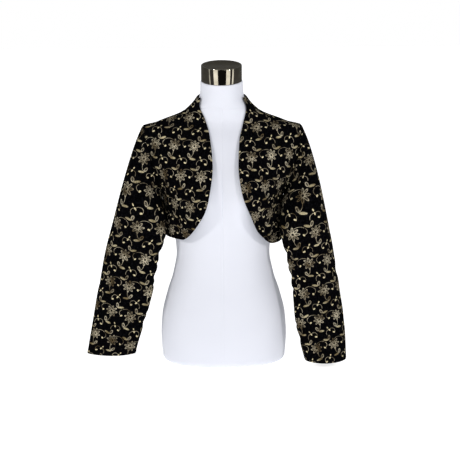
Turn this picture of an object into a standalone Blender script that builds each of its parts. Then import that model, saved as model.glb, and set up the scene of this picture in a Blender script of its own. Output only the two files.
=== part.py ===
"""Bolero jacket with long sleeves, resting on a limbless dress form.

Metres, +Z up. The origin is the middle of the form's flat underside. The front
faces -Y, so the wearer's left is +X.
"""
import bpy
import numpy as np

# cloth and seams
WALL = 0.002
SEAM_GAP = 0.00034
ARMHOLE_GAP = 0.0009

# heights on the body
HEM_HEIGHT = 0.3405
HEM_SKEW = 0.0105
FRONT_HEM_ANGLE = np.radians(60)
ARMPIT_HEIGHT = 0.453
SHOULDER_TIP_HEIGHT = 0.636
NECK_SEAM_HEIGHT = 0.676
COLLAR_TOP_HEIGHT = 0.714

# how far the armhole runs round the body, either side of the side seam
ARMHOLE_REACH_LEFT_FRONT = np.radians(20)
ARMHOLE_REACH_RIGHT_FRONT = np.radians(28)
ARMHOLE_REACH_BACK = np.radians(30)

# how finely the surfaces are divided
STEP = 0.0001
NEAR = 0.01
HEM_PARTS = (0.0, 0.03, 0.10, 0.24, 0.42, 0.61, 0.81)
ARMHOLE_STEPS = 12
SHOULDER_STEPS = 5
STAND_ROWS = 5
FRONT_COLUMNS = 10
BACK_COLUMNS = 20
SLEEVE_CAP_RINGS = 8
SLEEVE_RINGS = 18
FORM_SIDES = 36
FORM_BODY_RINGS = 20
GIRTH_STEPS = 40
SHARP_ANGLE = np.radians(45)

# the form: a closed stack of rings with rounded ends
FORM_TOP = 0.755
FORM_BASE_ROUND = 0.015
FORM_TOP_ROUND = 0.003
FORM_BODY_TOP = 0.600
FORM_SHOULDER_LOW = 0.610
FORM_SHOULDER_HIGH = 0.720
FORM_NECK_HEIGHT = 0.738
CAP_GAP = 0.0003
CAP_SIDES = 40
CAP_CENTRE_Y = -0.012
CAP_LEAN = 0.12

BODY_NAMES = ("z", "half_width", "front", "back", "centre_y", "squareness", "back_rise", "lean")

FORM_ROWS = (
    (0.0000, 0.1625, 0.1000, 0.1150, 0.000, 2.30, 0.0, 0.00),
    (0.0730, 0.1675, 0.1050, 0.1220, 0.000, 2.30, 0.0, 0.00),
    (0.1280, 0.1640, 0.1030, 0.1210, 0.000, 2.30, 0.0, 0.00),
    (0.1880, 0.1500, 0.0970, 0.1100, 0.000, 2.20, 0.0, 0.00),
    (0.2380, 0.1340, 0.0910, 0.1000, 0.000, 2.20, 0.0, 0.00),
    (0.2980, 0.1235, 0.0870, 0.0920, 0.000, 2.20, 0.0, 0.00),
    (0.3530, 0.1290, 0.0880, 0.0910, 0.000, 2.20, 0.0, 0.00),
    (0.4080, 0.1400, 0.0920, 0.0960, 0.000, 2.20, 0.0, 0.00),
    (0.4580, 0.1490, 0.0960, 0.1020, 0.000, 2.20, 0.0, 0.00),
    (0.5080, 0.1580, 0.0970, 0.1040, 0.000, 2.10, 0.0, 0.00),
    (0.5580, 0.1680, 0.0890, 0.0985, 0.000, 2.10, 0.0, 0.00),
    (0.5980, 0.1780, 0.0770, 0.0880, 0.000, 2.10, 0.0, 0.00),
    (0.6230, 0.1830, 0.0650, 0.0760, 0.000, 2.10, 0.0, 0.00),
    (0.6330, 0.1800, 0.0590, 0.0700, 0.000, 2.10, 0.0, 0.00),
    (0.6427, 0.1700, 0.0545, 0.0660, 0.000, 2.10, 0.0, 0.00),
    (0.6532, 0.1450, 0.0510, 0.0620, 0.000, 2.10, 0.0, 0.00),
    (0.6646, 0.1150, 0.0500, 0.0610, -0.001, 2.10, 0.0, 0.00),
    (0.6721, 0.0985, 0.0500, 0.0605, -0.002, 2.10, 0.0, 0.00),
    (0.6798, 0.0860, 0.0505, 0.0600, -0.003, 2.10, 0.0, 0.00),
    (0.6949, 0.0690, 0.0515, 0.0580, -0.004, 2.10, 0.0, 0.00),
    (0.7080, 0.0595, 0.0520, 0.0555, -0.005, 2.10, 0.0, 0.00),
    (0.7280, 0.0560, 0.0510, 0.0535, -0.008, 2.05, 0.0, 0.05),
    (0.7550, 0.0550, 0.0520, 0.0530, -0.012, 2.00, 0.0, 0.12),
)

JACKET_ROWS = (
    (0.3280, 0.1545, 0.1020, 0.1070, 0.000, 2.20, 0.0, 0.00),
    (0.3530, 0.1550, 0.1040, 0.1080, 0.000, 2.20, 0.0, 0.00),
    (0.3980, 0.1555, 0.1080, 0.1110, 0.000, 2.20, 0.0, 0.00),
    (0.4280, 0.1565, 0.1100, 0.1120, 0.000, 2.20, 0.0, 0.00),
    (0.4530, 0.1605, 0.1105, 0.1125, 0.000, 2.20, 0.0, 0.00),
    (0.4780, 0.1720, 0.1090, 0.1120, 0.000, 2.20, 0.0, 0.00),
    (0.5080, 0.1895, 0.1060, 0.1110, 0.000, 2.20, 0.0, 0.00),
    (0.5380, 0.2030, 0.1005, 0.1075, 0.000, 2.15, 0.0, 0.00),
    (0.5680, 0.2105, 0.0930, 0.1020, 0.000, 2.10, 0.0, 0.00),
    (0.5980, 0.2130, 0.0825, 0.0935, 0.000, 2.10, 0.0, 0.00),
    (0.6200, 0.2115, 0.0715, 0.0835, 0.000, 2.10, 0.0, 0.00),
    (0.6360, 0.2065, 0.0620, 0.0735, 0.000, 2.10, 0.0, 0.00),
    (0.6437, 0.1770, 0.0580, 0.0695, 0.000, 2.10, 0.0, 0.00),
    (0.6542, 0.1500, 0.0550, 0.0665, 0.000, 2.10, 0.001, 0.00),
    (0.6656, 0.1190, 0.0540, 0.0655, -0.001, 2.10, 0.003, 0.00),
    (0.6731, 0.1030, 0.0540, 0.0650, -0.002, 2.10, 0.005, 0.00),
    (0.6825, 0.0905, 0.0545, 0.0645, -0.003, 2.10, 0.007, 0.00),
    (0.6975, 0.0755, 0.0555, 0.0625, -0.004, 2.10, 0.009, 0.00),
    (0.7075, 0.0680, 0.0560, 0.0610, -0.005, 2.10, 0.011, 0.00),
    (0.7170, 0.0625, 0.0555, 0.0595, -0.006, 2.10, 0.012, 0.00),
)

# the bust: two soft mounds, and the jacket hangs from their apex
BUST_X = 0.075
BUST_HEIGHT = 0.463
FORM_BUST = {"amount": 0.042, "reach": 0.048, "above": 0.050, "below": 0.050}
JACKET_BUST = {"amount": 0.036, "reach": 0.060, "above": 0.065, "below": 0.090}

# the front edges, from the rounded lower corner up to the top of the stand
EDGE_NAMES = ("z", "x")
EDGE_LEFT_ROWS = (
    (0.3305, 0.1330),
    (0.3340, 0.1260),
    (0.3511, 0.1080),
    (0.3759, 0.0903),
    (0.4184, 0.0730),
    (0.4828, 0.0500),
    (0.5445, 0.0419),
    (0.6088, 0.0449),
    (0.6480, 0.0545),
    (0.6904, 0.0640),
    (0.7170, 0.0540),
)
EDGE_RIGHT_ROWS = (
    (0.3470, 0.1170),
    (0.3505, 0.1020),
    (0.3704, 0.0813),
    (0.4006, 0.0609),
    (0.4333, 0.0440),
    (0.4703, 0.0338),
    (0.5445, 0.0241),
    (0.6187, 0.0312),
    (0.6580, 0.0425),
    (0.6978, 0.0585),
    (0.7170, 0.0555),
)

# the sleeves below the armpit, as horizontal rings
SLEEVE_NAMES = ("z", "outer_x", "inner_x", "centre_y", "girth", "turn")
SLEEVE_LEFT_ROWS = (
    (0.0150, 0.3246, 0.2150, -0.080, 0.268, 5),
    (0.0680, 0.3233, 0.2010, -0.076, 0.288, 7),
    (0.1280, 0.3189, 0.1887, -0.071, 0.304, 9),
    (0.2080, 0.3072, 0.1815, -0.063, 0.322, 12),
    (0.2480, 0.3020, 0.1740, -0.058, 0.328, 14),
    (0.2880, 0.2945, 0.1668, -0.054, 0.338, 16),
    (0.3280, 0.2880, 0.1568, -0.052, 0.352, 18),
    (0.3680, 0.2800, 0.1485, -0.052, 0.368, 18),
    (0.4380, 0.2660, 0.1545, -0.046, 0.384, 16),
)
SLEEVE_RIGHT_ROWS = (
    (0.0310, 0.3635, 0.2345, -0.066, 0.270, 4),
    (0.0680, 0.3573, 0.2255, -0.065, 0.288, 6),
    (0.1280, 0.3463, 0.2067, -0.063, 0.304, 8),
    (0.2080, 0.3316, 0.1845, -0.058, 0.322, 10),
    (0.2480, 0.3228, 0.1760, -0.055, 0.328, 12),
    (0.2880, 0.3152, 0.1688, -0.053, 0.340, 14),
    (0.3280, 0.3060, 0.1570, -0.051, 0.354, 17),
    (0.3680, 0.2946, 0.1478, -0.052, 0.370, 18),
    (0.4380, 0.2752, 0.1540, -0.047, 0.386, 16),
)
# how the cuff's rim rises at its outer and inner end
CUFF_RISE_LEFT = (0.005, 0.004)
CUFF_RISE_RIGHT = (0.004, 0.006)
CUFF_RISE_REACH = 0.10

# the depth of a sleeve, from flat to round, between which its true one is found
SLEEVE_FLAT = 0.012
SLEEVE_ROUND = 0.075
# how many rings below the armhole the folds take to reach their full depth
FOLD_FADE_RINGS = 3

# how far the cloth's length-wise lines turn forward at the underarm
UNDERARM_TURN = np.radians(28)

# how the sleeve leaves the armhole at four places round it, as directions
LEAVE_NAMES = ("around", "x", "y", "z", "start", "end")
LEAVE_ROWS = (
    (0, 0.56, 0.00, -0.83, 0.120, 0.200),
    (90, 0.80, -0.34, -0.50, 0.070, 0.110),
    (180, 1.00, 0.00, 0.40, 0.014, 0.020),
    (270, 0.80, 0.34, -0.50, 0.070, 0.110),
    (360, 0.56, 0.00, -0.83, 0.120, 0.200),
)

# the largest folds, as soft troughs; a negative depth is a ridge
FOLD_NAMES = ("across", "z", "turn", "length", "width", "depth")
FRONT_LEFT_FOLDS = (
    (0.130, 0.353, 70, 0.030, 0.012, 0.0045),
    (0.148, 0.360, 96, 0.028, 0.010, -0.0035),
    (0.100, 0.380, 40, 0.030, 0.012, 0.0030),
    (0.160, 0.478, 58, 0.034, 0.012, 0.0040),
)
FRONT_RIGHT_FOLDS = (
    (-0.125, 0.380, -55, 0.028, 0.011, 0.0040),
    (-0.143, 0.396, -62, 0.026, 0.010, -0.0030),
    (-0.150, 0.478, -52, 0.036, 0.011, 0.0045),
    (-0.135, 0.448, -50, 0.030, 0.011, -0.0030),
)
BACK_FOLDS = (
    (-0.100, 0.408, 78, 0.060, 0.018, 0.0045),
    (0.030, 0.398, 94, 0.070, 0.022, 0.0040),
    (0.105, 0.403, 100, 0.050, 0.017, 0.0045),
    (-0.165, 0.508, -60, 0.040, 0.014, 0.0040),
    (0.165, 0.513, 62, 0.040, 0.014, 0.0040),
)
NO_FOLDS = (
    (0, 0, 0, 1, 1, 0),
)
SLEEVE_FOLD_NAMES = ("around", "z", "turn", "length", "width", "depth")
SLEEVE_LEFT_FOLDS = (
    (112, 0.470, 62, 0.050, 0.016, 0.0045),
    (150, 0.298, 25, 0.045, 0.012, 0.0055),
    (165, 0.243, -20, 0.040, 0.012, 0.0050),
    (75, 0.158, 30, 0.050, 0.014, 0.0040),
    (240, 0.308, -25, 0.060, 0.014, 0.0055),
    (255, 0.448, -55, 0.060, 0.018, 0.0050),
    (20, 0.258, 15, 0.050, 0.014, 0.0035),
    (130, 0.088, -22, 0.040, 0.013, 0.0040),
)
SLEEVE_RIGHT_FOLDS = (
    (75, 0.478, 84, 0.090, 0.015, 0.0050),
    (125, 0.430, 60, 0.050, 0.014, 0.0035),
    (155, 0.308, 22, 0.045, 0.012, 0.0055),
    (140, 0.253, -25, 0.050, 0.012, 0.0055),
    (60, 0.208, -20, 0.050, 0.014, 0.0040),
    (250, 0.288, 22, 0.060, 0.014, 0.0055),
    (260, 0.448, -50, 0.060, 0.018, 0.0050),
    (170, 0.128, 20, 0.040, 0.013, 0.0045),
)

# the cap on the form's neck, a turned profile from its underside to its top
CAP_NAMES = ("radius", "z")
CAP_ROWS = (
    (0.0512, 0.0000),
    (0.0526, 0.0010),
    (0.0529, 0.0030),
    (0.0529, 0.0380),
    (0.0522, 0.0403),
    (0.0505, 0.0412),
    (0.0480, 0.0407),
)

# plain finishes
BROCADE = {"colour": (0.012, 0.012, 0.016), "roughness": 0.75, "metallic": 0.0}
JERSEY = {"colour": (0.80, 0.82, 0.88), "roughness": 0.8, "metallic": 0.0}
NICKEL = {"colour": (0.30, 0.29, 0.26), "roughness": 0.12, "metallic": 1.0}


def table(names, rows):
    """A table's named columns, each as an array."""
    return dict(zip(names, np.array(rows, float).T))


def smooth(steps, values, at):
    """Read values at any place on a smooth curve that never overshoots them."""
    at = np.clip(at, steps[0], steps[-1])
    slopes = np.diff(values) / np.diff(steps)
    tangents = np.zeros_like(values)
    tangents[0] = slopes[0]
    tangents[-1] = slopes[-1]
    before = slopes[:-1]
    after = slopes[1:]
    same_way = before * after > 0
    total = np.where(same_way, before + after, 1.0)
    tangents[1:-1] = np.where(same_way, 2 * before * after / total, 0.0)
    index = np.clip(np.searchsorted(steps, at, side="right") - 1, 0, len(steps) - 2)
    span = steps[index + 1] - steps[index]
    t = (at - steps[index]) / span
    return (values[index] * (1 + 2 * t) * (1 - t) ** 2
            + values[index + 1] * t * t * (3 - 2 * t)
            + span * tangents[index] * t * (1 - t) ** 2
            + span * tangents[index + 1] * t * t * (t - 1))


def read(columns, key, at):
    """Every other column of a table, read at the given values of one column."""
    return {name: smooth(columns[key], column, at)
            for name, column in columns.items() if name != key}


def unit(vectors):
    """The same vectors at length one."""
    return vectors / np.linalg.norm(vectors, axis=-1, keepdims=True)


def body_points(columns, bust, angle, height, inset=0.0):
    """Points on a body of rings. Angle 0 is centre front and 90 degrees is +X."""
    ring = read(columns, "z", height)
    power = 2 / ring["squareness"]
    side = np.sin(angle)
    ahead = np.cos(angle)
    x = (ring["half_width"] - inset) * np.sign(side) * np.abs(side) ** power
    depth = np.where(ahead > 0, ring["front"], ring["back"]) - inset
    y = ring["centre_y"] - depth * np.sign(ahead) * np.abs(ahead) ** power
    reach = np.where(height > BUST_HEIGHT, bust["above"], bust["below"])
    mound = np.exp(-((np.abs(x) - BUST_X) / bust["reach"]) ** 2 / 2
                   - ((height - BUST_HEIGHT) / reach) ** 2 / 2)
    y = y - bust["amount"] * mound * np.clip(ahead, 0, 1)
    z = (height + ring["back_rise"] * np.clip(-ahead, 0, 1) ** 2.5
         + ring["lean"] * (y - ring["centre_y"]))
    return np.stack(np.broadcast_arrays(x, y, z), -1)


def angle_at_x(columns, x, height):
    """The angle, on the front half of a ring, at which the body reaches x."""
    ring = read(columns, "z", height)
    part = np.clip(np.abs(x) / ring["half_width"], 0, 1) ** (ring["squareness"] / 2)
    return np.sign(x) * np.arcsin(part)


def fold_depth(folds, across, height):
    """How far the named folds push the cloth in at each place."""
    depth = np.zeros(np.broadcast(across, height).shape)
    for row in range(len(folds["z"])):
        fold = {name: column[row] for name, column in folds.items()}
        turn = np.radians(fold["turn"])
        right = across - fold["across"]
        up = height - fold["z"]
        along = right * np.cos(turn) + up * np.sin(turn)
        beside = up * np.cos(turn) - right * np.sin(turn)
        depth += fold["depth"] * np.exp(-(along / fold["length"]) ** 2
                                        - (beside / fold["width"]) ** 2)
    return depth


def panel_walls(angle, height, folds):
    """Outer and inner points of a body panel over a grid of angles and heights."""
    body = table(BODY_NAMES, JACKET_ROWS)

    def at(angle, height):
        return body_points(body, JACKET_BUST, angle, height)

    outer = at(angle, height)
    round_way = at(angle + STEP, height) - at(angle - STEP, height)
    up_way = at(angle, height + STEP) - at(angle, height - STEP)
    outward = unit(np.cross(round_way, up_way))
    depth = fold_depth(folds, outer[..., 0], outer[..., 2])
    outer = outer - outward * depth[..., None]
    return outer, outer - outward * WALL


def armhole_angle(height, reach):
    """How far from the side seam the armhole lies at each height."""
    middle = (SHOULDER_TIP_HEIGHT + ARMPIT_HEIGHT) / 2
    half = (SHOULDER_TIP_HEIGHT - ARMPIT_HEIGHT) / 2
    part = np.clip(1 - ((height - middle) / half) ** 2, 0, 1)
    return reach * np.sqrt(part)


def armhole_heights():
    """Heights from armpit to shoulder tip, close together at both ends."""
    middle = (SHOULDER_TIP_HEIGHT + ARMPIT_HEIGHT) / 2
    half = (SHOULDER_TIP_HEIGHT - ARMPIT_HEIGHT) / 2
    return middle - half * np.cos(np.linspace(0, np.pi, ARMHOLE_STEPS + 1))


def gap_angle(height):
    """The angle that opens half a seam's gap beside the side or shoulder seam."""
    body = table(BODY_NAMES, JACKET_ROWS)
    here = body_points(body, JACKET_BUST, np.full_like(height, np.pi / 2), height)
    near = body_points(body, JACKET_BUST, np.full_like(height, np.pi / 2 - NEAR), height)
    per_radian = np.linalg.norm(near - here, axis=-1) / NEAR
    return SEAM_GAP / 2 / per_radian


def row_heights():
    """Row heights of the panels above the hem rows, up to the neck seam."""
    shoulder = np.linspace(SHOULDER_TIP_HEIGHT, NECK_SEAM_HEIGHT, SHOULDER_STEPS + 1)[1:]
    return np.concatenate((armhole_heights(), shoulder))


def hem_height(angle):
    """The hem hangs a little lower on the wearer's left."""
    return HEM_HEIGHT - HEM_SKEW * np.sin(angle)


def front_walls(side, reach, edge_rows, folds):
    """Wall points of one front with its grown-on stand; side is +1 for the wearer's left."""
    body = table(BODY_NAMES, JACKET_ROWS)
    edge = table(EDGE_NAMES, edge_rows)
    hem = hem_height(side * FRONT_HEM_ANGLE)
    low = hem + np.array(HEM_PARTS) * (ARMPIT_HEIGHT - hem)
    stand = np.linspace(NECK_SEAM_HEIGHT, COLLAR_TOP_HEIGHT, STAND_ROWS)[1:]
    heights = np.concatenate((low, row_heights(), stand))
    edge_angle = angle_at_x(body, smooth(edge["z"], edge["x"], heights), heights)
    seam_angle = (np.pi / 2 - gap_angle(heights)
                  - armhole_angle(heights, reach))
    part = np.linspace(0, 1, FRONT_COLUMNS)
    angle = edge_angle[:, None] + (seam_angle - edge_angle)[:, None] * part
    return panel_walls(side * angle, heights[:, None] + 0 * angle, folds)


def back_walls(folds):
    """Wall points of the back panel, from the wearer's left side seam round to the right."""
    part = np.linspace(0, 1, BACK_COLUMNS)
    low_hem = np.array(HEM_PARTS)[:, None]
    upper = row_heights()
    upper[-1] -= SEAM_GAP
    count = len(HEM_PARTS) + len(upper)
    heights = np.zeros((count, BACK_COLUMNS))
    hem = hem_height(np.pi / 2 + part * np.pi)
    heights[:len(HEM_PARTS)] = hem + low_hem * (ARMPIT_HEIGHT - hem)
    heights[len(HEM_PARTS):] = upper[:, None]
    start = (np.pi / 2 + gap_angle(heights[:, 0])
             + armhole_angle(heights[:, 0], ARMHOLE_REACH_BACK))
    angle = start[:, None] + (2 * np.pi - 2 * start)[:, None] * part
    return panel_walls(angle, heights, folds)


def collar_walls():
    """Wall points of the back neck stand, between the two shoulder seams."""
    heights = np.linspace(NECK_SEAM_HEIGHT, COLLAR_TOP_HEIGHT, STAND_ROWS)
    part = np.linspace(0, 1, BACK_COLUMNS)
    start = np.pi / 2 + gap_angle(heights)
    angle = start[:, None] + (2 * np.pi - 2 * start)[:, None] * part
    return panel_walls(angle, heights[:, None] + 0 * angle, table(FOLD_NAMES, NO_FOLDS))


def armhole_loop(side, reach, front_folds):
    """The armhole's outer points: shoulder tip, down the front, armpit, up the back."""
    heights = armhole_heights()
    front = np.pi / 2 - armhole_angle(heights, reach)
    back = np.pi / 2 + armhole_angle(heights, ARMHOLE_REACH_BACK)
    front_edge, _ = panel_walls(side * front[::-1], heights[::-1], front_folds)
    back_edge, _ = panel_walls(side * back[1:-1], heights[1:-1], table(FOLD_NAMES, BACK_FOLDS))
    return np.concatenate((front_edge, back_edge)) * (side, 1, 1)


def ring_axes(half_width, girth, turn):
    """Half axes of a turned ellipse with the given girth and half width across X."""
    low = np.full_like(half_width, SLEEVE_FLAT)
    high = np.full_like(half_width, SLEEVE_ROUND)
    for _ in range(GIRTH_STEPS):
        deep = (low + high) / 2
        wide = np.sqrt(half_width ** 2 - (deep * np.sin(turn)) ** 2) / np.cos(turn)
        around = np.pi * (3 * (wide + deep)
                          - np.sqrt((3 * wide + deep) * (wide + 3 * deep)))
        low = np.where(around < girth, deep, low)
        high = np.where(around < girth, high, deep)
    return wide, deep


def sleeve_ring(columns, rise, around, height):
    """Points of the sleeve's horizontal rings. Around 0 is the outer side, 90 the front."""
    around = around + UNDERARM_TURN * (1 - np.cos(around)) / 2
    ring = read(columns, "z", height)
    turn = np.radians(ring["turn"])
    half_width = (ring["outer_x"] - ring["inner_x"]) / 2
    wide, deep = ring_axes(half_width, ring["girth"], turn)
    out = wide * np.cos(around)
    ahead = deep * np.sin(around)
    x = (ring["outer_x"] + ring["inner_x"]) / 2 + out * np.cos(turn) + ahead * np.sin(turn)
    y = ring["centre_y"] + out * np.sin(turn) - ahead * np.cos(turn)
    low = np.clip(1 - (height - columns["z"][0]) / CUFF_RISE_REACH, 0, 1) ** 2
    outward = np.clip(np.cos(around), 0, 1) ** 2 * rise[0]
    inward = np.clip(-np.cos(around), 0, 1) ** 2 * rise[1]
    z = height + low * (outward + inward)
    return np.stack(np.broadcast_arrays(x, y, z), -1)


def sleeve_walls(side, reach, rows, rise, front_folds, folds):
    """Wall points of one sleeve, from the armhole down to the cuff."""
    columns = table(SLEEVE_NAMES, rows)
    sides = 2 * ARMHOLE_STEPS
    around = np.arange(sides) * 2 * np.pi / sides
    loop = armhole_loop(side, reach, front_folds) + (ARMHOLE_GAP, 0, 0)
    first = sleeve_ring(columns, rise, around, np.full(sides, columns["z"][-1]))
    leave = read(table(LEAVE_NAMES, LEAVE_ROWS), "around", np.degrees(around))
    start_way = unit(np.stack((leave["x"], leave["y"], leave["z"]), -1))
    second = sleeve_ring(columns, rise, around, np.full(sides, columns["z"][-1] - NEAR))
    end_way = unit(second - first)
    cap = []
    for t in np.linspace(0, 1, SLEEVE_CAP_RINGS + 1)[:-1]:
        cap.append(loop * (1 + 2 * t) * (1 - t) ** 2
                   + first * t * t * (3 - 2 * t)
                   + start_way * leave["start"][:, None] * t * (1 - t) ** 2
                   + end_way * leave["end"][:, None] * t * t * (t - 1))
    heights = np.linspace(columns["z"][-1], columns["z"][0], SLEEVE_RINGS)[:, None]
    tube = sleeve_ring(columns, rise, around, heights + 0 * around)
    outer = np.concatenate((np.array(cap), tube))

    down = np.gradient(outer, axis=0)
    onward = np.roll(outer, -1, axis=1) - np.roll(outer, 1, axis=1)
    outward = unit(np.cross(onward, down))
    middle = outer.mean(axis=1, keepdims=True)
    girth = np.linalg.norm(outer - np.roll(outer, 1, axis=1), axis=-1)
    arc = girth.sum(axis=1, keepdims=True)
    depth = np.zeros(outer.shape[:2])
    for row in range(len(folds["z"])):
        offset = (np.degrees(around) - folds["around"][row] + 180) % 360 - 180
        place = {name: column[row:row + 1] for name, column in folds.items()
                 if name != "around"}
        place["across"] = np.zeros(1)
        depth += fold_depth(place, offset / 360 * arc, outer[..., 2])
    fade = np.clip(np.arange(len(outer)) / FOLD_FADE_RINGS, 0, 1)[:, None]
    outer = outer - outward * (depth * fade)[..., None]
    inner = outer - outward * WALL
    to_middle = unit((middle - outer)[0] * (0, 1, 1))
    inner[0] = outer[0] + to_middle * WALL
    return outer * (side, 1, 1), inner * (side, 1, 1)


def material(name, look):
    """A plain finish for one piece."""
    finish = bpy.data.materials.new(name)
    finish.use_nodes = True
    shader = finish.node_tree.nodes["Principled BSDF"]
    shader.inputs["Base Color"].default_value = (*look["colour"], 1)
    shader.inputs["Roughness"].default_value = look["roughness"]
    shader.inputs["Metallic"].default_value = look["metallic"]
    finish.diffuse_color = (*look["colour"], 1)
    return finish


def make_piece(name, points, faces, finish):
    """One closed solid as its own object."""
    mesh = bpy.data.meshes.new(name)
    mesh.from_pydata([tuple(point) for point in points], [], faces)
    mesh.materials.append(finish)
    mesh.shade_smooth()
    mesh.set_sharp_from_angle(angle=SHARP_ANGLE)
    piece = bpy.data.objects.new(name, mesh)
    bpy.context.collection.objects.link(piece)
    return piece


def make_wall(name, walls, finish, tube=False, mirrored=False):
    """A wall of cloth between outer and inner points, closed along its edges."""
    outer, inner = walls
    rows, columns = outer.shape[:2]
    points = np.concatenate((outer.reshape(-1, 3), inner.reshape(-1, 3)))
    under = rows * columns
    last = rows - 1
    spans = columns if tube else columns - 1

    def at(row, column):
        return row * columns + column % columns

    faces = []
    for row in range(last):
        for column in range(spans):
            loop = (at(row, column), at(row, column + 1),
                    at(row + 1, column + 1), at(row + 1, column))
            faces.append(loop)
            faces.append(tuple(under + corner for corner in reversed(loop)))
    edges = [(at(0, column + 1), at(0, column)) for column in range(spans)]
    edges += [(at(last, column), at(last, column + 1)) for column in range(spans)]
    if not tube:
        edges += [(at(row, 0), at(row + 1, 0)) for row in range(last)]
        edges += [(at(row + 1, spans), at(row, spans)) for row in range(last)]
    faces += [(a, b, under + b, under + a) for a, b in edges]
    if mirrored:
        faces = [tuple(reversed(face)) for face in faces]
    return make_piece(name, points, faces, finish)


def make_stack(name, rings, finish):
    """A solid through a stack of rings, with a flat face at each end."""
    count, sides = rings.shape[:2]
    points = np.concatenate((rings.reshape(-1, 3), [rings[0].mean(axis=0)],
                             [rings[-1].mean(axis=0)]))
    bottom = count * sides
    top = bottom + 1
    last = (count - 1) * sides
    faces = []
    for side in range(sides):
        turn = (side + 1) % sides
        faces.append((turn, side, bottom))
        faces.append((last + side, last + turn, top))
        for row in range(0, last, sides):
            faces.append((row + side, row + turn, row + sides + turn, row + sides + side))
    return make_piece(name, points, faces, finish)


def form_rings():
    """The form's rings, with a rounded lower edge and a small round at the neck's top."""
    columns = table(BODY_NAMES, FORM_ROWS)
    angle = np.arange(FORM_SIDES) * 2 * np.pi / FORM_SIDES
    rings = []
    for turn in np.linspace(0, np.pi / 2, 4)[:-1]:
        rings.append((FORM_BASE_ROUND * (1 - np.cos(turn)),
                      FORM_BASE_ROUND * (1 - np.sin(turn))))
    shoulder = [height for height in columns["z"]
                if FORM_SHOULDER_LOW < height < FORM_SHOULDER_HIGH]
    plain = np.linspace(FORM_BASE_ROUND, FORM_BODY_TOP, FORM_BODY_RINGS)
    for height in (*plain, *shoulder, FORM_NECK_HEIGHT):
        rings.append((height, 0.0))
    for turn in np.linspace(0, np.pi / 2, 3):
        rings.append((FORM_TOP - FORM_TOP_ROUND * (1 - np.sin(turn)),
                      FORM_TOP_ROUND * (1 - np.cos(turn))))
    return np.array([body_points(columns, FORM_BUST, angle, np.full(FORM_SIDES, height), inset)
                     for height, inset in rings])


def cap_rings():
    """The cap's turned rings, standing on the form's neck."""
    columns = table(CAP_NAMES, CAP_ROWS)
    angle = np.arange(CAP_SIDES) * 2 * np.pi / CAP_SIDES
    rings = []
    for radius, height in zip(columns["radius"], columns["z"]):
        rings.append(np.stack((radius * np.cos(angle),
                               CAP_CENTRE_Y - CAP_LEAN * height + radius * np.sin(angle),
                               FORM_TOP + CAP_GAP + height
                               + CAP_LEAN * radius * np.sin(angle)), -1))
    return np.array(rings)


def main():
    """Build every piece of the jacket and of the form."""
    for thing in list(bpy.data.objects):
        bpy.data.objects.remove(thing, do_unlink=True)
    make_stack("form_torso", form_rings(), material("white_jersey", JERSEY))
    make_stack("form_neck_cap", cap_rings(), material("polished_nickel", NICKEL))
    make_wall("back", back_walls(table(FOLD_NAMES, BACK_FOLDS)),
              material("brocade_back", BROCADE))
    make_wall("front_left", front_walls(1, ARMHOLE_REACH_LEFT_FRONT, EDGE_LEFT_ROWS,
                                        table(FOLD_NAMES, FRONT_LEFT_FOLDS)),
              material("brocade_front_left", BROCADE))
    make_wall("front_right", front_walls(-1, ARMHOLE_REACH_RIGHT_FRONT, EDGE_RIGHT_ROWS,
                                         table(FOLD_NAMES, FRONT_RIGHT_FOLDS)),
              material("brocade_front_right", BROCADE), mirrored=True)
    make_wall("collar_back", collar_walls(), material("brocade_collar", BROCADE))
    make_wall("sleeve_left", sleeve_walls(1, ARMHOLE_REACH_LEFT_FRONT, SLEEVE_LEFT_ROWS,
                                          CUFF_RISE_LEFT, table(FOLD_NAMES, FRONT_LEFT_FOLDS),
                                          table(SLEEVE_FOLD_NAMES, SLEEVE_LEFT_FOLDS)),
              material("brocade_sleeve_left", BROCADE), tube=True)
    make_wall("sleeve_right", sleeve_walls(-1, ARMHOLE_REACH_RIGHT_FRONT, SLEEVE_RIGHT_ROWS,
                                           CUFF_RISE_RIGHT,
                                           table(FOLD_NAMES, FRONT_RIGHT_FOLDS),
                                           table(SLEEVE_FOLD_NAMES, SLEEVE_RIGHT_FOLDS)),
              material("brocade_sleeve_right", BROCADE), tube=True, mirrored=True)


main()
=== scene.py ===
"""Bolero jacket of gold-flowered brocade, resting on a white dress form with a metal neck cap.

Metres, +Z up, the front faces -Y. The cloth surfaces are worked out from the same named
sizes as the CAD, on finer grids, with their edges rounded and their small creases added.
"""
import bpy
import numpy as np
from mathutils import Matrix, Vector


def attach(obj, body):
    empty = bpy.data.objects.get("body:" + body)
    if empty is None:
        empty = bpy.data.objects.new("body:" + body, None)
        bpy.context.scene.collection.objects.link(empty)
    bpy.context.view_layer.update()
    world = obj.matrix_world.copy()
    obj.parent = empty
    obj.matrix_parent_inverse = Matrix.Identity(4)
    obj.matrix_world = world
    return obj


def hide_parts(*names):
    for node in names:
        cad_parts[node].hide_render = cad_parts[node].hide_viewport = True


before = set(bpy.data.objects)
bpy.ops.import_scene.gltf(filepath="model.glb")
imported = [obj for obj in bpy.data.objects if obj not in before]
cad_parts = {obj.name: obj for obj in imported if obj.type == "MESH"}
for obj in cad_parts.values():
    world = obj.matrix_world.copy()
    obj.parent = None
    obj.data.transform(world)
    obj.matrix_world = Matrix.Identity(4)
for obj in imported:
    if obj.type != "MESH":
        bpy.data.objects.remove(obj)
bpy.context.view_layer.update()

# cloth and seams, in metres
WALL = 0.002
SEAM_GAP = 0.00012
ARMHOLE_GAP = 0.0002

# a cut edge is rounded by this drop, and the turned cloth inside it stands up by this bulge,
# which is highest this many grid rows in
EDGE_DROP = 0.0006
EDGE_BULGE = 0.0005
EDGE_BULGE_ROW = 2.5
EDGE_BULGE_SPREAD = 1.6

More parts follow.
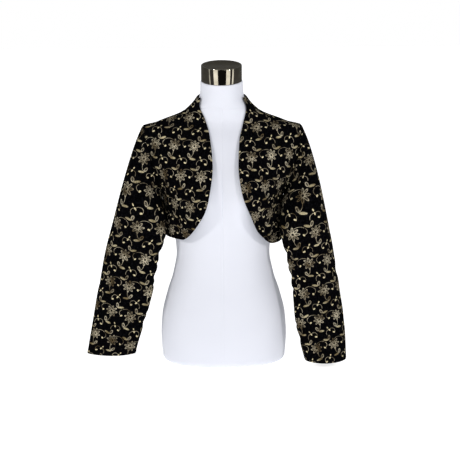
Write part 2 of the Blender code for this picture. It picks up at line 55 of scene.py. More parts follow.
# heights on the body
HEM_HEIGHT = 0.3405
HEM_SKEW = 0.0105
FRONT_HEM_ANGLE = np.radians(60)
ARMPIT_HEIGHT = 0.453
SHOULDER_TIP_HEIGHT = 0.636
NECK_SEAM_HEIGHT = 0.676
COLLAR_TOP_HEIGHT = 0.714

# how far the armhole runs round the body, either side of the side seam
ARMHOLE_REACH_LEFT_FRONT = np.radians(20)
ARMHOLE_REACH_RIGHT_FRONT = np.radians(28)
ARMHOLE_REACH_BACK = np.radians(30)

# how far the cloth's length-wise lines turn forward at the underarm
UNDERARM_TURN = np.radians(28)
# how sharply the back of a ring rises, and how closely the rows crowd towards the hem
BACK_RISE_POWER = 2.5
HEM_CROWDING = 1.25

# small steps that give a surface's slope, and the halvings that find a sleeve's true depth
# between flat and round
STEP = 0.0001
NEAR = 0.01
GIRTH_STEPS = 40
SLEEVE_FLAT = 0.012
SLEEVE_ROUND = 0.075

# how finely the surfaces are divided
ARMHOLE_STEPS = 60
SIDE_ROWS = 56
SHOULDER_ROWS = 30
STAND_ROWS = 18
FRONT_COLUMNS = 72
BACK_COLUMNS = 150
CAP_RINGS = 44
TUBE_RINGS = 150

# how far below the armhole a sleeve's folds reach their full depth
FOLD_FADE = 0.035

# rings of the form and of the jacket over it, from the bottom up
BODY_NAMES = ("z", "half_width", "front", "back", "centre_y", "squareness", "back_rise", "lean")
FORM_ROWS = (
    (0.0000, 0.1625, 0.1000, 0.1150, 0.000, 2.30, 0.0, 0.00),
    (0.0730, 0.1675, 0.1050, 0.1220, 0.000, 2.30, 0.0, 0.00),
    (0.1280, 0.1640, 0.1030, 0.1210, 0.000, 2.30, 0.0, 0.00),
    (0.1880, 0.1500, 0.0970, 0.1100, 0.000, 2.20, 0.0, 0.00),
    (0.2380, 0.1340, 0.0910, 0.1000, 0.000, 2.20, 0.0, 0.00),
    (0.2980, 0.1235, 0.0870, 0.0920, 0.000, 2.20, 0.0, 0.00),
    (0.3530, 0.1290, 0.0880, 0.0910, 0.000, 2.20, 0.0, 0.00),
    (0.4080, 0.1400, 0.0920, 0.0960, 0.000, 2.20, 0.0, 0.00),
    (0.4580, 0.1490, 0.0960, 0.1020, 0.000, 2.20, 0.0, 0.00),
    (0.5080, 0.1580, 0.0970, 0.1040, 0.000, 2.10, 0.0, 0.00),
    (0.5580, 0.1680, 0.0890, 0.0985, 0.000, 2.10, 0.0, 0.00),
    (0.5980, 0.1780, 0.0770, 0.0880, 0.000, 2.10, 0.0, 0.00),
    (0.6230, 0.1830, 0.0650, 0.0760, 0.000, 2.10, 0.0, 0.00),
    (0.6330, 0.1800, 0.0590, 0.0700, 0.000, 2.10, 0.0, 0.00),
    (0.6427, 0.1700, 0.0545, 0.0660, 0.000, 2.10, 0.0, 0.00),
    (0.6532, 0.1450, 0.0510, 0.0620, 0.000, 2.10, 0.0, 0.00),
    (0.6646, 0.1150, 0.0500, 0.0610, -0.001, 2.10, 0.0, 0.00),
    (0.6721, 0.0985, 0.0500, 0.0605, -0.002, 2.10, 0.0, 0.00),
    (0.6798, 0.0860, 0.0505, 0.0600, -0.003, 2.10, 0.0, 0.00),
    (0.6949, 0.0690, 0.0515, 0.0580, -0.004, 2.10, 0.0, 0.00),
    (0.7080, 0.0595, 0.0520, 0.0555, -0.005, 2.10, 0.0, 0.00),
    (0.7280, 0.0560, 0.0510, 0.0535, -0.008, 2.05, 0.0, 0.05),
    (0.7550, 0.0550, 0.0520, 0.0530, -0.012, 2.00, 0.0, 0.12),
)
JACKET_ROWS = (
    (0.3280, 0.1545, 0.1020, 0.1070, 0.000, 2.20, 0.0, 0.00),
    (0.3530, 0.1550, 0.1040, 0.1080, 0.000, 2.20, 0.0, 0.00),
    (0.3980, 0.1555, 0.1080, 0.1110, 0.000, 2.20, 0.0, 0.00),
    (0.4280, 0.1565, 0.1100, 0.1120, 0.000, 2.20, 0.0, 0.00),
    (0.4530, 0.1605, 0.1105, 0.1125, 0.000, 2.20, 0.0, 0.00),
    (0.4780, 0.1720, 0.1090, 0.1120, 0.000, 2.20, 0.0, 0.00),
    (0.5080, 0.1895, 0.1060, 0.1110, 0.000, 2.20, 0.0, 0.00),
    (0.5380, 0.2030, 0.1005, 0.1075, 0.000, 2.15, 0.0, 0.00),
    (0.5680, 0.2105, 0.0930, 0.1020, 0.000, 2.10, 0.0, 0.00),
    (0.5980, 0.2130, 0.0825, 0.0935, 0.000, 2.10, 0.0, 0.00),
    (0.6200, 0.2115, 0.0715, 0.0835, 0.000, 2.10, 0.0, 0.00),
    (0.6360, 0.2065, 0.0620, 0.0735, 0.000, 2.10, 0.0, 0.00),
    (0.6437, 0.1770, 0.0580, 0.0695, 0.000, 2.10, 0.0, 0.00),
    (0.6542, 0.1500, 0.0550, 0.0665, 0.000, 2.10, 0.001, 0.00),
    (0.6656, 0.1190, 0.0540, 0.0655, -0.001, 2.10, 0.003, 0.00),
    (0.6731, 0.1030, 0.0540, 0.0650, -0.002, 2.10, 0.005, 0.00),
    (0.6825, 0.0905, 0.0545, 0.0645, -0.003, 2.10, 0.007, 0.00),
    (0.6975, 0.0755, 0.0555, 0.0625, -0.004, 2.10, 0.009, 0.00),
    (0.7075, 0.0680, 0.0560, 0.0610, -0.005, 2.10, 0.011, 0.00),
    (0.7170, 0.0625, 0.0555, 0.0595, -0.006, 2.10, 0.012, 0.00),
)

# the bust: two soft mounds, and the jacket hangs from their apex
BUST_X = 0.075
BUST_HEIGHT = 0.463
FORM_BUST = {"amount": 0.042, "reach": 0.048, "above": 0.050, "below": 0.050}
JACKET_BUST = {"amount": 0.036, "reach": 0.060, "above": 0.065, "below": 0.090}

# the front edges, from the rounded lower corner up to the top of the stand
EDGE_NAMES = ("z", "x")
EDGE_LEFT_ROWS = (
    (0.3305, 0.1330),
    (0.3340, 0.1260),
    (0.3511, 0.1080),
    (0.3759, 0.0903),
    (0.4184, 0.0730),
    (0.4828, 0.0500),
    (0.5445, 0.0419),
    (0.6088, 0.0449),
    (0.6480, 0.0545),
    (0.6904, 0.0640),
    (0.7170, 0.0540),
)
EDGE_RIGHT_ROWS = (
    (0.3470, 0.1170),
    (0.3505, 0.1020),
    (0.3704, 0.0813),
    (0.4006, 0.0609),
    (0.4333, 0.0440),
    (0.4703, 0.0338),
    (0.5445, 0.0241),
    (0.6187, 0.0312),
    (0.6580, 0.0425),
    (0.6978, 0.0585),
    (0.7170, 0.0555),
)

# the sleeves below the armpit, as horizontal rings
SLEEVE_NAMES = ("z", "outer_x", "inner_x", "centre_y", "girth", "turn")
SLEEVE_LEFT_ROWS = (
    (0.0150, 0.3246, 0.2150, -0.080, 0.268, 5),
    (0.0680, 0.3233, 0.2010, -0.076, 0.288, 7),
    (0.1280, 0.3189, 0.1887, -0.071, 0.304, 9),
    (0.2080, 0.3072, 0.1815, -0.063, 0.322, 12),
    (0.2480, 0.3020, 0.1740, -0.058, 0.328, 14),
    (0.2880, 0.2945, 0.1668, -0.054, 0.338, 16),
    (0.3280, 0.2880, 0.1568, -0.052, 0.352, 18),
    (0.3680, 0.2800, 0.1485, -0.052, 0.368, 18),
    (0.4380, 0.2660, 0.1545, -0.046, 0.384, 16),
)
SLEEVE_RIGHT_ROWS = (
    (0.0310, 0.3635, 0.2345, -0.066, 0.270, 4),
    (0.0680, 0.3573, 0.2255, -0.065, 0.288, 6),
    (0.1280, 0.3463, 0.2067, -0.063, 0.304, 8),
    (0.2080, 0.3316, 0.1845, -0.058, 0.322, 10),
    (0.2480, 0.3228, 0.1760, -0.055, 0.328, 12),
    (0.2880, 0.3152, 0.1688, -0.053, 0.340, 14),
    (0.3280, 0.3060, 0.1570, -0.051, 0.354, 17),
    (0.3680, 0.2946, 0.1478, -0.052, 0.370, 18),
    (0.4380, 0.2752, 0.1540, -0.047, 0.386, 16),
)

# how the cuff's rim rises at its outer and inner end, and how far up the sleeve that reaches
CUFF_RISE_LEFT = (0.005, 0.004)
CUFF_RISE_RIGHT = (0.004, 0.006)
CUFF_RISE_REACH = 0.10

# how the sleeve leaves the armhole at places round it: its direction, and the pull at each end
LEAVE_NAMES = ("around", "x", "y", "z", "start", "end")
LEAVE_ROWS = (
    (0, 0.56, 0.00, -0.83, 0.120, 0.200),
    (90, 0.80, -0.34, -0.50, 0.070, 0.110),
    (180, 1.00, 0.00, 0.40, 0.009, 0.020),
    (270, 0.80, 0.34, -0.50, 0.070, 0.110),
    (360, 0.56, 0.00, -0.83, 0.120, 0.200),
)

# folds as soft troughs; a negative depth is a ridge. The first rows are those of the CAD
FOLD_NAMES = ("across", "z", "turn", "length", "width", "depth")
FRONT_LEFT_FOLDS = (
    (0.130, 0.353, 70, 0.030, 0.012, 0.0045),
    (0.148, 0.360, 96, 0.028, 0.010, -0.0035),
    (0.100, 0.380, 40, 0.030, 0.012, 0.0030),
    (0.160, 0.478, 58, 0.034, 0.012, 0.0040),
    (0.138, 0.346, 62, 0.020, 0.0035, 0.0028),
    (0.118, 0.350, 52, 0.022, 0.0040, 0.0024),
    (0.150, 0.372, 40, 0.020, 0.0040, 0.0026),
    (0.152, 0.400, 30, 0.022, 0.0045, 0.0024),
    (0.168, 0.500, 60, 0.034, 0.0050, 0.0028),
    (0.156, 0.462, 50, 0.026, 0.0045, 0.0028),
    (0.176, 0.540, 74, 0.034, 0.0055, 0.0023),
)
FRONT_RIGHT_FOLDS = (
    (-0.125, 0.380, -55, 0.028, 0.011, 0.0040),
    (-0.143, 0.396, -62, 0.026, 0.010, -0.0030),
    (-0.150, 0.478, -52, 0.036, 0.011, 0.0045),
    (-0.135, 0.448, -50, 0.030, 0.011, -0.0030),
    (-0.140, 0.412, -42, 0.022, 0.0035, 0.0032),
    (-0.134, 0.422, -42, 0.022, 0.0035, 0.0032),
    (-0.124, 0.404, -38, 0.020, 0.0035, 0.0024),
    (-0.128, 0.436, -46, 0.024, 0.0040, 0.0024),
    (-0.150, 0.462, -54, 0.028, 0.0040, 0.0032),
    (-0.158, 0.498, -58, 0.030, 0.0045, 0.0028),
    (-0.105, 0.362, -60, 0.020, 0.0040, 0.0024),
)
BACK_FOLDS = (
    (-0.100, 0.408, 78, 0.060, 0.018, 0.0045),
    (0.030, 0.398, 94, 0.070, 0.022, 0.0040),
    (0.105, 0.403, 100, 0.050, 0.017, 0.0045),
    (-0.165, 0.508, -60, 0.040, 0.014, 0.0040),
    (0.165, 0.513, 62, 0.040, 0.014, 0.0040),
    (-0.060, 0.390, 84, 0.046, 0.0060, 0.0026),
    (0.070, 0.384, 96, 0.046, 0.0060, 0.0026),
    (-0.150, 0.476, -52, 0.030, 0.0050, 0.0026),
    (0.152, 0.480, 54, 0.030, 0.0050, 0.0026),
)
NO_FOLDS = (
    (0, 0, 0, 1, 1, 0),
)
SLEEVE_FOLD_NAMES = ("around", "z", "turn", "length", "width", "depth")
SLEEVE_LEFT_FOLDS = (
    (112, 0.470, 62, 0.050, 0.016, 0.0045),
    (150, 0.298, 25, 0.045, 0.012, 0.0055),
    (165, 0.243, -20, 0.040, 0.012, 0.0050),
    (75, 0.158, 30, 0.050, 0.014, 0.0040),
    (240, 0.308, -25, 0.060, 0.014, 0.0055),
    (255, 0.448, -55, 0.060, 0.018, 0.0050),
    (20, 0.258, 15, 0.050, 0.014, 0.0035),
    (130, 0.088, -22, 0.040, 0.013, 0.0040),
    (135, 0.330, 30, 0.030, 0.0050, 0.0032),
    (150, 0.272, 8, 0.030, 0.0050, 0.0032),
    (160, 0.210, -14, 0.030, 0.0050, 0.0032),
    (110, 0.286, 22, 0.034, 0.0060, 0.0024),
    (120, 0.420, 60, 0.040, 0.0060, 0.0028),
    (140, 0.120, -16, 0.030, 0.0050, 0.0024),
)
SLEEVE_RIGHT_FOLDS = (
    (75, 0.478, 84, 0.090, 0.015, 0.0050),
    (125, 0.430, 60, 0.050, 0.014, 0.0035),
    (155, 0.308, 22, 0.045, 0.012, 0.0055),
    (140, 0.253, -25, 0.050, 0.012, 0.0055),
    (60, 0.208, -20, 0.050, 0.014, 0.0040),
    (250, 0.288, 22, 0.060, 0.014, 0.0055),
    (260, 0.448, -50, 0.060, 0.018, 0.0050),
    (170, 0.128, 20, 0.040, 0.013, 0.0045),
    (150, 0.340, 30, 0.030, 0.0050, 0.0032),
    (148, 0.282, -4, 0.030, 0.0050, 0.0032),
    (150, 0.226, -18, 0.030, 0.0050, 0.0032),
    (105, 0.262, -18, 0.034, 0.0060, 0.0024),
    (118, 0.452, 72, 0.040, 0.0060, 0.0028),
    (165, 0.150, 14, 0.030, 0.0050, 0.0024),
)

# how each piece is cut: its flat width, length and area, and where on it a flower lies
CUT_NAMES = ("width", "length", "area", "flower_x", "flower_y")
CUTS = {
    "back": (0.45, 0.40, 0.1445, 0.000, 0.520),
    "front_left": (0.20, 0.425, 0.0596, 0.058, 0.5665),
    "front_right": (0.215, 0.405, 0.0619, -0.113, 0.595),
    "collar_back": (0.255, 0.06, 0.0106, 0.000, 0.690),
    "sleeve_left": (0.355, 0.635, 0.1765, -0.080, -0.427),
    "sleeve_right": (0.375, 0.625, 0.1748, 0.0495, -0.2556),
}

# one flower and what grows round it, in millimetres from the flower's centre
MM = 0.001
# along a row, and from row to row
REPEAT = 0.053
ROW_HEIGHT = 0.078
ROW_FOOT = 0.0500
PETALS = 8
PETAL = {"x": 9.2, "half_length": 6.6, "half_width": 2.7}
OVAL_NAMES = ("x", "y", "turn", "half_length", "half_width")
# leaves drawn in outline
LEAVES = (
    (10.2, 21.2, 112, 6.4, 3.5),
    (-10.8, -25.6, 114, 6.4, 3.5),
)
# leaves filled with thread
BLADES = (
    (20.8, 17.0, 16, 8.0, 2.7),
    (-0.2, -33.8, -6, 8.0, 2.7),
)
# bright buds
DROPS = (
    (28.6, -3.6, 42, 3.1, 2.1),
    (18.6, -28.8, 118, 2.9, 1.4),
    (22.6, -36.4, 118, 3.4, 1.8),
    (33.8, -45.4, -24, 3.3, 2.1),
)
# tendrils
ARC_NAMES = ("x", "y", "radius", "middle", "half", "half_width")
ARCS = (
    (37.5, -1.4, 18.0, 88, 36, 0.42),
    (29.2, 4.6, 8.2, 188, 72, 0.42),
    (-20.0, -16.0, 20.0, -22, 26, 0.42),
    (22.2, -45.4, 10.4, 148, 52, 0.42),
    (29.6, -41.0, 8.4, 50, 92, 0.42),
)

# the cloth's unevenness and its painted sheen, as patterns a metre
WAVER_SCALE = 22.0  # rows that wander: 45 mm
WORN_SCALE = 28.0  # worn patches: 36 mm
HATCH_SCALE = 150.0  # stitches that fill petals: 3 mm, coarser than real so that they show
PILE_SHEEN_SCALE = 240.0  # painted sheen: the pile lighter in patches where it lies one way or the other: 4 mm
LOOSE_SCALE = 420.0  # loose threads: 2.4 mm, also coarser than real
PILE_SCALE = 900.0  # tufts of pile: 1.1 mm

# how far the rows wander, how far the thread stands up, and the pile's share of that
WAVER = 0.003
THREAD_RISE = 0.0006
PILE_SHARE = 0.25

# the cloth's colours
PILE = "#000001"
# the pile's painted sheen: the colour its lighter patches are painted towards
PILE_LIT = "#0d0d10"
THREAD = "#cbc2aa"
THREAD_WORN = "#5a4e39"
LEAF = "#b6ac8c"
LEAF_WORN = "#6a5d42"
BUD = "#d2c7a2"


def table(names, rows):
    """A table's named columns, each as an array."""
    return dict(zip(names, np.array(rows, float).T))


def smooth(steps, values, at):
    """Read values at any place on a smooth curve that never overshoots them."""
    at = np.clip(at, steps[0], steps[-1])
    slopes = np.diff(values) / np.diff(steps)
    tangents = np.zeros_like(values)
    tangents[0] = slopes[0]
    tangents[-1] = slopes[-1]
    before = slopes[:-1]
    after = slopes[1:]
    same_way = before * after > 0
    total = np.where(same_way, before + after, 1.0)
    tangents[1:-1] = np.where(same_way, 2 * before * after / total, 0.0)
    index = np.clip(np.searchsorted(steps, at, side="right") - 1, 0, len(steps) - 2)
    span = steps[index + 1] - steps[index]
    t = (at - steps[index]) / span
    return (values[index] * (1 + 2 * t) * (1 - t) ** 2
            + values[index + 1] * t * t * (3 - 2 * t)
            + span * tangents[index] * t * (1 - t) ** 2
            + span * tangents[index + 1] * t * t * (t - 1))


def read(columns, key, at):
    """Every other column of a table, read at the given values of one column."""
    return {name: smooth(columns[key], column, at)
            for name, column in columns.items() if name != key}


def unit(vectors):
    """The same vectors at length one."""
    return vectors / np.linalg.norm(vectors, axis=-1, keepdims=True)


def body_points(columns, bust, angle, height, inset=0.0):
    """Points on a body of rings. Angle 0 is centre front and 90 degrees is +X."""
    ring = read(columns, "z", height)
    power = 2 / ring["squareness"]
    side = np.sin(angle)
    ahead = np.cos(angle)
    x = (ring["half_width"] - inset) * np.sign(side) * np.abs(side) ** power
    depth = np.where(ahead > 0, ring["front"], ring["back"]) - inset
    y = ring["centre_y"] - depth * np.sign(ahead) * np.abs(ahead) ** power
    reach = np.where(height > BUST_HEIGHT, bust["above"], bust["below"])
    mound = np.exp(-((np.abs(x) - BUST_X) / bust["reach"]) ** 2 / 2
                   - ((height - BUST_HEIGHT) / reach) ** 2 / 2)
    y = y - bust["amount"] * mound * np.clip(ahead, 0, 1)
    z = (height + ring["back_rise"] * np.clip(-ahead, 0, 1) ** BACK_RISE_POWER
         + ring["lean"] * (y - ring["centre_y"]))
    return np.stack(np.broadcast_arrays(x, y, z), -1)


def angle_at_x(columns, x, height):
    """The angle, on the front half of a ring, at which the body reaches x."""
    ring = read(columns, "z", height)
    part = np.clip(np.abs(x) / ring["half_width"], 0, 1) ** (ring["squareness"] / 2)
    return np.sign(x) * np.arcsin(part)


def fold_depth(folds, across, height):
    """How far the named folds push the cloth in at each place."""
    depth = np.zeros(np.broadcast(across, height).shape)
    for row in range(len(folds["z"])):
        fold = {name: column[row] for name, column in folds.items()}
        turn = np.radians(fold["turn"])
        right = across - fold["across"]
        up = height - fold["z"]
        along = right * np.cos(turn) + up * np.sin(turn)
        beside = up * np.cos(turn) - right * np.sin(turn)
        depth += fold["depth"] * np.exp(-(along / fold["length"]) ** 2
                                        - (beside / fold["width"]) ** 2)
    return depth


def panel_walls(angle, height, folds):
    """Outer and inner points of a body panel over a grid of angles and heights."""
    def at(angle, height):
        return body_points(JACKET, JACKET_BUST, angle, height)

    outer = at(angle, height)
    round_way = at(angle + STEP, height) - at(angle - STEP, height)
    up_way = at(angle, height + STEP) - at(angle, height - STEP)
    outward = unit(np.cross(round_way, up_way))
    depth = fold_depth(folds, outer[..., 0], outer[..., 2])
    outer = outer - outward * depth[..., None]
    return outer, outer - outward * WALL


def armhole_angle(height, reach):
    """How far from the side seam the armhole lies at each height."""
    middle = (SHOULDER_TIP_HEIGHT + ARMPIT_HEIGHT) / 2
    half = (SHOULDER_TIP_HEIGHT - ARMPIT_HEIGHT) / 2
    part = np.clip(1 - ((height - middle) / half) ** 2, 0, 1)
    return reach * np.sqrt(part)


def armhole_heights():
    """Heights from armpit to shoulder tip, close together at both ends."""
    middle = (SHOULDER_TIP_HEIGHT + ARMPIT_HEIGHT) / 2
    half = (SHOULDER_TIP_HEIGHT - ARMPIT_HEIGHT) / 2
    return middle - half * np.cos(np.linspace(0, np.pi, ARMHOLE_STEPS + 1))


def gap_angle(height):
    """The angle that opens half a seam's gap beside the side or shoulder seam."""
    here = body_points(JACKET, JACKET_BUST, np.full_like(height, np.pi / 2), height)
    near = body_points(JACKET, JACKET_BUST, np.full_like(height, np.pi / 2 - NEAR), height)
    per_radian = np.linalg.norm(near - here, axis=-1) / NEAR
    return SEAM_GAP / 2 / per_radian


def row_heights():
    """Row heights of the panels above the hem rows, up to the neck seam."""
    shoulder = np.linspace(SHOULDER_TIP_HEIGHT, NECK_SEAM_HEIGHT, SHOULDER_ROWS + 1)[1:]
    return np.concatenate((armhole_heights(), shoulder))


def hem_height(angle):
    """The hem hangs a little lower on the wearer's left."""
    return HEM_HEIGHT - HEM_SKEW * np.sin(angle)


def low_parts():
    """Parts of the way from the hem to the armpit, closer together at the hem."""
    return np.linspace(0, 1, SIDE_ROWS + 1)[:-1] ** HEM_CROWDING


def front_walls(side, reach, edge_rows, folds):
    """Wall points of one front with its grown-on stand; side is +1 for the wearer's left."""
    edge = table(EDGE_NAMES, edge_rows)
    hem = hem_height(side * FRONT_HEM_ANGLE)
    low = hem + low_parts() * (ARMPIT_HEIGHT - hem)
    stand = np.linspace(NECK_SEAM_HEIGHT, COLLAR_TOP_HEIGHT, STAND_ROWS)[1:]
    heights = np.concatenate((low, row_heights(), stand))
    edge_angle = angle_at_x(JACKET, smooth(edge["z"], edge["x"], heights), heights)
    seam_angle = np.pi / 2 - gap_angle(heights) - armhole_angle(heights, reach)
    part = np.linspace(0, 1, FRONT_COLUMNS)
    angle = edge_angle[:, None] + (seam_angle - edge_angle)[:, None] * part
    angle = side * angle
    heights = heights[:, None] + 0 * angle
    return panel_walls(angle, heights, folds)


def back_walls(folds):
    """Wall points of the back panel, from the wearer's left side seam round to the right."""
    part = np.linspace(0, 1, BACK_COLUMNS)
    low_hem = low_parts()[:, None]
    upper = row_heights()
    upper[-1] -= SEAM_GAP
    count = len(low_hem) + len(upper)
    heights = np.zeros((count, BACK_COLUMNS))
    hem = hem_height(np.pi / 2 + part * np.pi)
    heights[:len(low_hem)] = hem + low_hem * (ARMPIT_HEIGHT - hem)
    heights[len(low_hem):] = upper[:, None]
    start = (np.pi / 2 + gap_angle(heights[:, 0])
             + armhole_angle(heights[:, 0], ARMHOLE_REACH_BACK))
    angle = start[:, None] + (2 * np.pi - 2 * start)[:, None] * part
    return panel_walls(angle, heights, folds)


def collar_walls(folds):
    """Wall points of the back neck stand, between the two shoulder seams."""
    heights = np.linspace(NECK_SEAM_HEIGHT, COLLAR_TOP_HEIGHT, STAND_ROWS)
    part = np.linspace(0, 1, BACK_COLUMNS)
    start = np.pi / 2 + gap_angle(heights)
    angle = start[:, None] + (2 * np.pi - 2 * start)[:, None] * part
    heights = heights[:, None] + 0 * angle
    return panel_walls(angle, heights, folds)


def flatten(outer, tube):
    """Unwrap a grid of cloth: where each point lies on the flat cloth, in metres.

    The flat piece is turned upright and set by its mean place, so that the woven rows run level.
    A sleeve is cut open along its underarm, which is where its first column goes.
    """
    grid = outer
    if tube:
        half = outer.shape[1] // 2
        grid = np.concatenate((outer[:, half:], outer[:, :half + 1]), axis=1)
    rows, columns = grid.shape[:2]
    spots = np.arange(rows * columns).reshape(rows, columns)
    faces = np.stack((spots[:-1, :-1], spots[:-1, 1:], spots[1:, 1:], spots[1:, :-1]), -1)
    mesh = bpy.data.meshes.new("flat")
    mesh.from_pydata(grid.reshape(-1, 3).tolist(), [], faces.reshape(-1, 4).tolist())
    mesh.uv_layers.new(name="flat")
    sheet = bpy.data.objects.new("flat", mesh)
    bpy.context.collection.objects.link(sheet)
    bpy.ops.object.select_all(action="DESELECT")
    sheet.select_set(True)
    bpy.context.view_layer.objects.active = sheet
    bpy.ops.object.mode_set(mode="EDIT")
    bpy.ops.mesh.select_all(action="SELECT")
    bpy.ops.uv.unwrap(method="CONFORMAL", margin=0.0)
    bpy.ops.object.mode_set(mode="OBJECT")
    corner = np.zeros(len(mesh.loops), dtype=np.int32)
    mesh.loops.foreach_get("vertex_index", corner)
    unwrapped = np.zeros(len(mesh.loops) * 2)
    mesh.uv_layers["flat"].data.foreach_get("uv", unwrapped)
    flat = np.zeros((rows * columns, 2))
    flat[corner] = unwrapped.reshape(-1, 2)
    bpy.data.objects.remove(sheet, do_unlink=True)
    bpy.data.meshes.remove(mesh)

    # the similarity that best brings the flat piece back to its place seen from in front
    if tube:
        down = np.linalg.norm(np.diff(grid.mean(axis=1), axis=0), axis=-1)
        along = np.concatenate(([0.0], np.cumsum(down)))[:, None] + np.zeros(columns)
        width = np.linalg.norm(np.diff(grid, axis=1), axis=-1).sum(axis=1)[:, None]
        across = -np.sign(grid[..., 0].mean()) * width * np.linspace(-0.5, 0.5, columns)
        aim = np.stack((across, -along), -1).reshape(-1, 2)
    else:
        aim = grid.reshape(-1, 3)[:, (0, 2)].copy()
        if grid[..., 1].mean() > 0:
            aim[:, 0] *= -1
    flat_z = flat @ (1, 1j)
    aim_z = aim @ (1, 1j)
    flat_z -= flat_z.mean()
    aim_mid = aim_z.mean()
    best = (np.conj(flat_z) * (aim_z - aim_mid)).sum()
    flipped = (flat_z * (aim_z - aim_mid)).sum()
    if abs(flipped) > abs(best):
        flat_z = np.conj(flat_z)
        best = flipped
    turn = best / abs(best)
    steps = np.linalg.norm(np.diff(grid, axis=1), axis=-1).sum()
    flat_steps = np.abs(np.diff(flat_z.reshape(rows, columns), axis=1)).sum()
    placed = flat_z * turn * (steps / flat_steps) + aim_mid
    flat = np.stack((placed.real, placed.imag), -1).reshape(rows, columns, 2)
    if tube:
        flat = np.concatenate((flat[:, half:], flat[:, :half + 1]), axis=1)
    return flat


def armhole_loop(side, reach, front_folds):
    """The armhole's outer points: shoulder tip, down the front, armpit, up the back."""
    heights = armhole_heights()
    front = np.pi / 2 - armhole_angle(heights, reach)
    back = np.pi / 2 + armhole_angle(heights, ARMHOLE_REACH_BACK)
    front_edge, _ = panel_walls(side * front[::-1], heights[::-1], front_folds)
    back_edge, _ = panel_walls(side * back[1:-1], heights[1:-1], table(FOLD_NAMES, BACK_FOLDS))
    return np.concatenate((front_edge, back_edge)) * (side, 1, 1)


def ring_axes(half_width, girth, turn):
    """Half axes of a turned ellipse with the given girth and half width across X."""
    low = np.full_like(half_width, SLEEVE_FLAT)
    high = np.full_like(half_width, SLEEVE_ROUND)
    for _ in range(GIRTH_STEPS):
        deep = (low + high) / 2
        wide = np.sqrt(half_width ** 2 - (deep * np.sin(turn)) ** 2) / np.cos(turn)
        around = np.pi * (3 * (wide + deep)
                          - np.sqrt((3 * wide + deep) * (wide + 3 * deep)))
        low = np.where(around < girth, deep, low)
        high = np.where(around < girth, high, deep)
    return wide, deep


def sleeve_ring(columns, rise, around, height):
    """Points of the sleeve's horizontal rings. Around 0 is the outer side, 90 the front."""
    around = around + UNDERARM_TURN * (1 - np.cos(around)) / 2
    ring = read(columns, "z", height)
    turn = np.radians(ring["turn"])
    half_width = (ring["outer_x"] - ring["inner_x"]) / 2
    wide, deep = ring_axes(half_width, ring["girth"], turn)
    out = wide * np.cos(around)
    ahead = deep * np.sin(around)
    x = (ring["outer_x"] + ring["inner_x"]) / 2 + out * np.cos(turn) + ahead * np.sin(turn)
    y = ring["centre_y"] + out * np.sin(turn) - ahead * np.cos(turn)
    low = np.clip(1 - (height - columns["z"][0]) / CUFF_RISE_REACH, 0, 1) ** 2
    outward = np.clip(np.cos(around), 0, 1) ** 2 * rise[0]
    inward = np.clip(-np.cos(around), 0, 1) ** 2 * rise[1]
    z = height + low * (outward + inward)
    return np.stack(np.broadcast_arrays(x, y, z), -1)


def sleeve_walls(side, reach, rows, rise, front_folds, folds):
    """Wall points of one sleeve, from the armhole down to the cuff."""
    columns = table(SLEEVE_NAMES, rows)
    sides = 2 * ARMHOLE_STEPS
    around = np.arange(sides) * 2 * np.pi / sides
    loop = armhole_loop(side, reach, front_folds) + (ARMHOLE_GAP, 0, 0)
    first = sleeve_ring(columns, rise, around, np.full(sides, columns["z"][-1]))
    leave = read(table(LEAVE_NAMES, LEAVE_ROWS), "around", np.degrees(around))
    start_way = unit(np.stack((leave["x"], leave["y"], leave["z"]), -1))
    second = sleeve_ring(columns, rise, around, np.full(sides, columns["z"][-1] - NEAR))
    end_way = unit(second - first)
    cap = []
    for t in np.linspace(0, 1, CAP_RINGS + 1)[:-1]:
        cap.append(loop * (1 + 2 * t) * (1 - t) ** 2
                   + first * t * t * (3 - 2 * t)
                   + start_way * leave["start"][:, None] * t * (1 - t) ** 2
                   + end_way * leave["end"][:, None] * t * t * (t - 1))
    heights = np.linspace(columns["z"][-1], columns["z"][0], TUBE_RINGS)[:, None]
    tube = sleeve_ring(columns, rise, around, heights + 0 * around)
    outer = np.concatenate((np.array(cap), tube))

    down = np.gradient(outer, axis=0)
    onward = np.roll(outer, -1, axis=1) - np.roll(outer, 1, axis=1)
    outward = unit(np.cross(onward, down))
    middle = outer.mean(axis=1, keepdims=True)
    girth = np.linalg.norm(outer - np.roll(outer, 1, axis=1), axis=-1)
    arc = girth.sum(axis=1, keepdims=True)
    depth = np.zeros(outer.shape[:2])
    for row in range(len(folds["z"])):
        offset = (np.degrees(around) - folds["around"][row] + 180) % 360 - 180
        place = {name: column[row:row + 1] for name, column in folds.items()
                 if name != "around"}
        place["across"] = np.zeros(1)
        depth += fold_depth(place, offset / 360 * arc, outer[..., 2])
    fade = np.clip(np.linalg.norm(outer - outer[:1], axis=-1) / FOLD_FADE, 0, 1)
    outer = outer - outward * (depth * fade)[..., None]
    inner = outer - outward * WALL
    to_middle = unit((middle - outer)[0] * (0, 1, 1))
    inner[0] = outer[0] + to_middle * WALL
    return outer * (side, 1, 1), inner * (side, 1, 1)


def soften_edges(walls, tube):
    """Round the cloth over its cut edges, with the turned edge a little thicker inside them."""
    outer, inner = (wall.copy() for wall in walls)
    through = unit(outer - inner)
    rows, columns = outer.shape[:2]
    from_end = np.minimum(np.arange(rows), np.arange(rows)[::-1])[:, None] + np.zeros(columns)
    if not tube:
        from_side = np.minimum(np.arange(columns), np.arange(columns)[::-1])[None]
        from_end = np.minimum(from_end, from_side)
    drop = EDGE_DROP * np.clip(1 - from_end, 0, 1)
    bulge = EDGE_BULGE * np.exp(-((from_end - EDGE_BULGE_ROW) / EDGE_BULGE_SPREAD) ** 2)
    outer += through * (bulge - drop)[..., None]
    inner += through * drop[..., None]
    return outer, inner


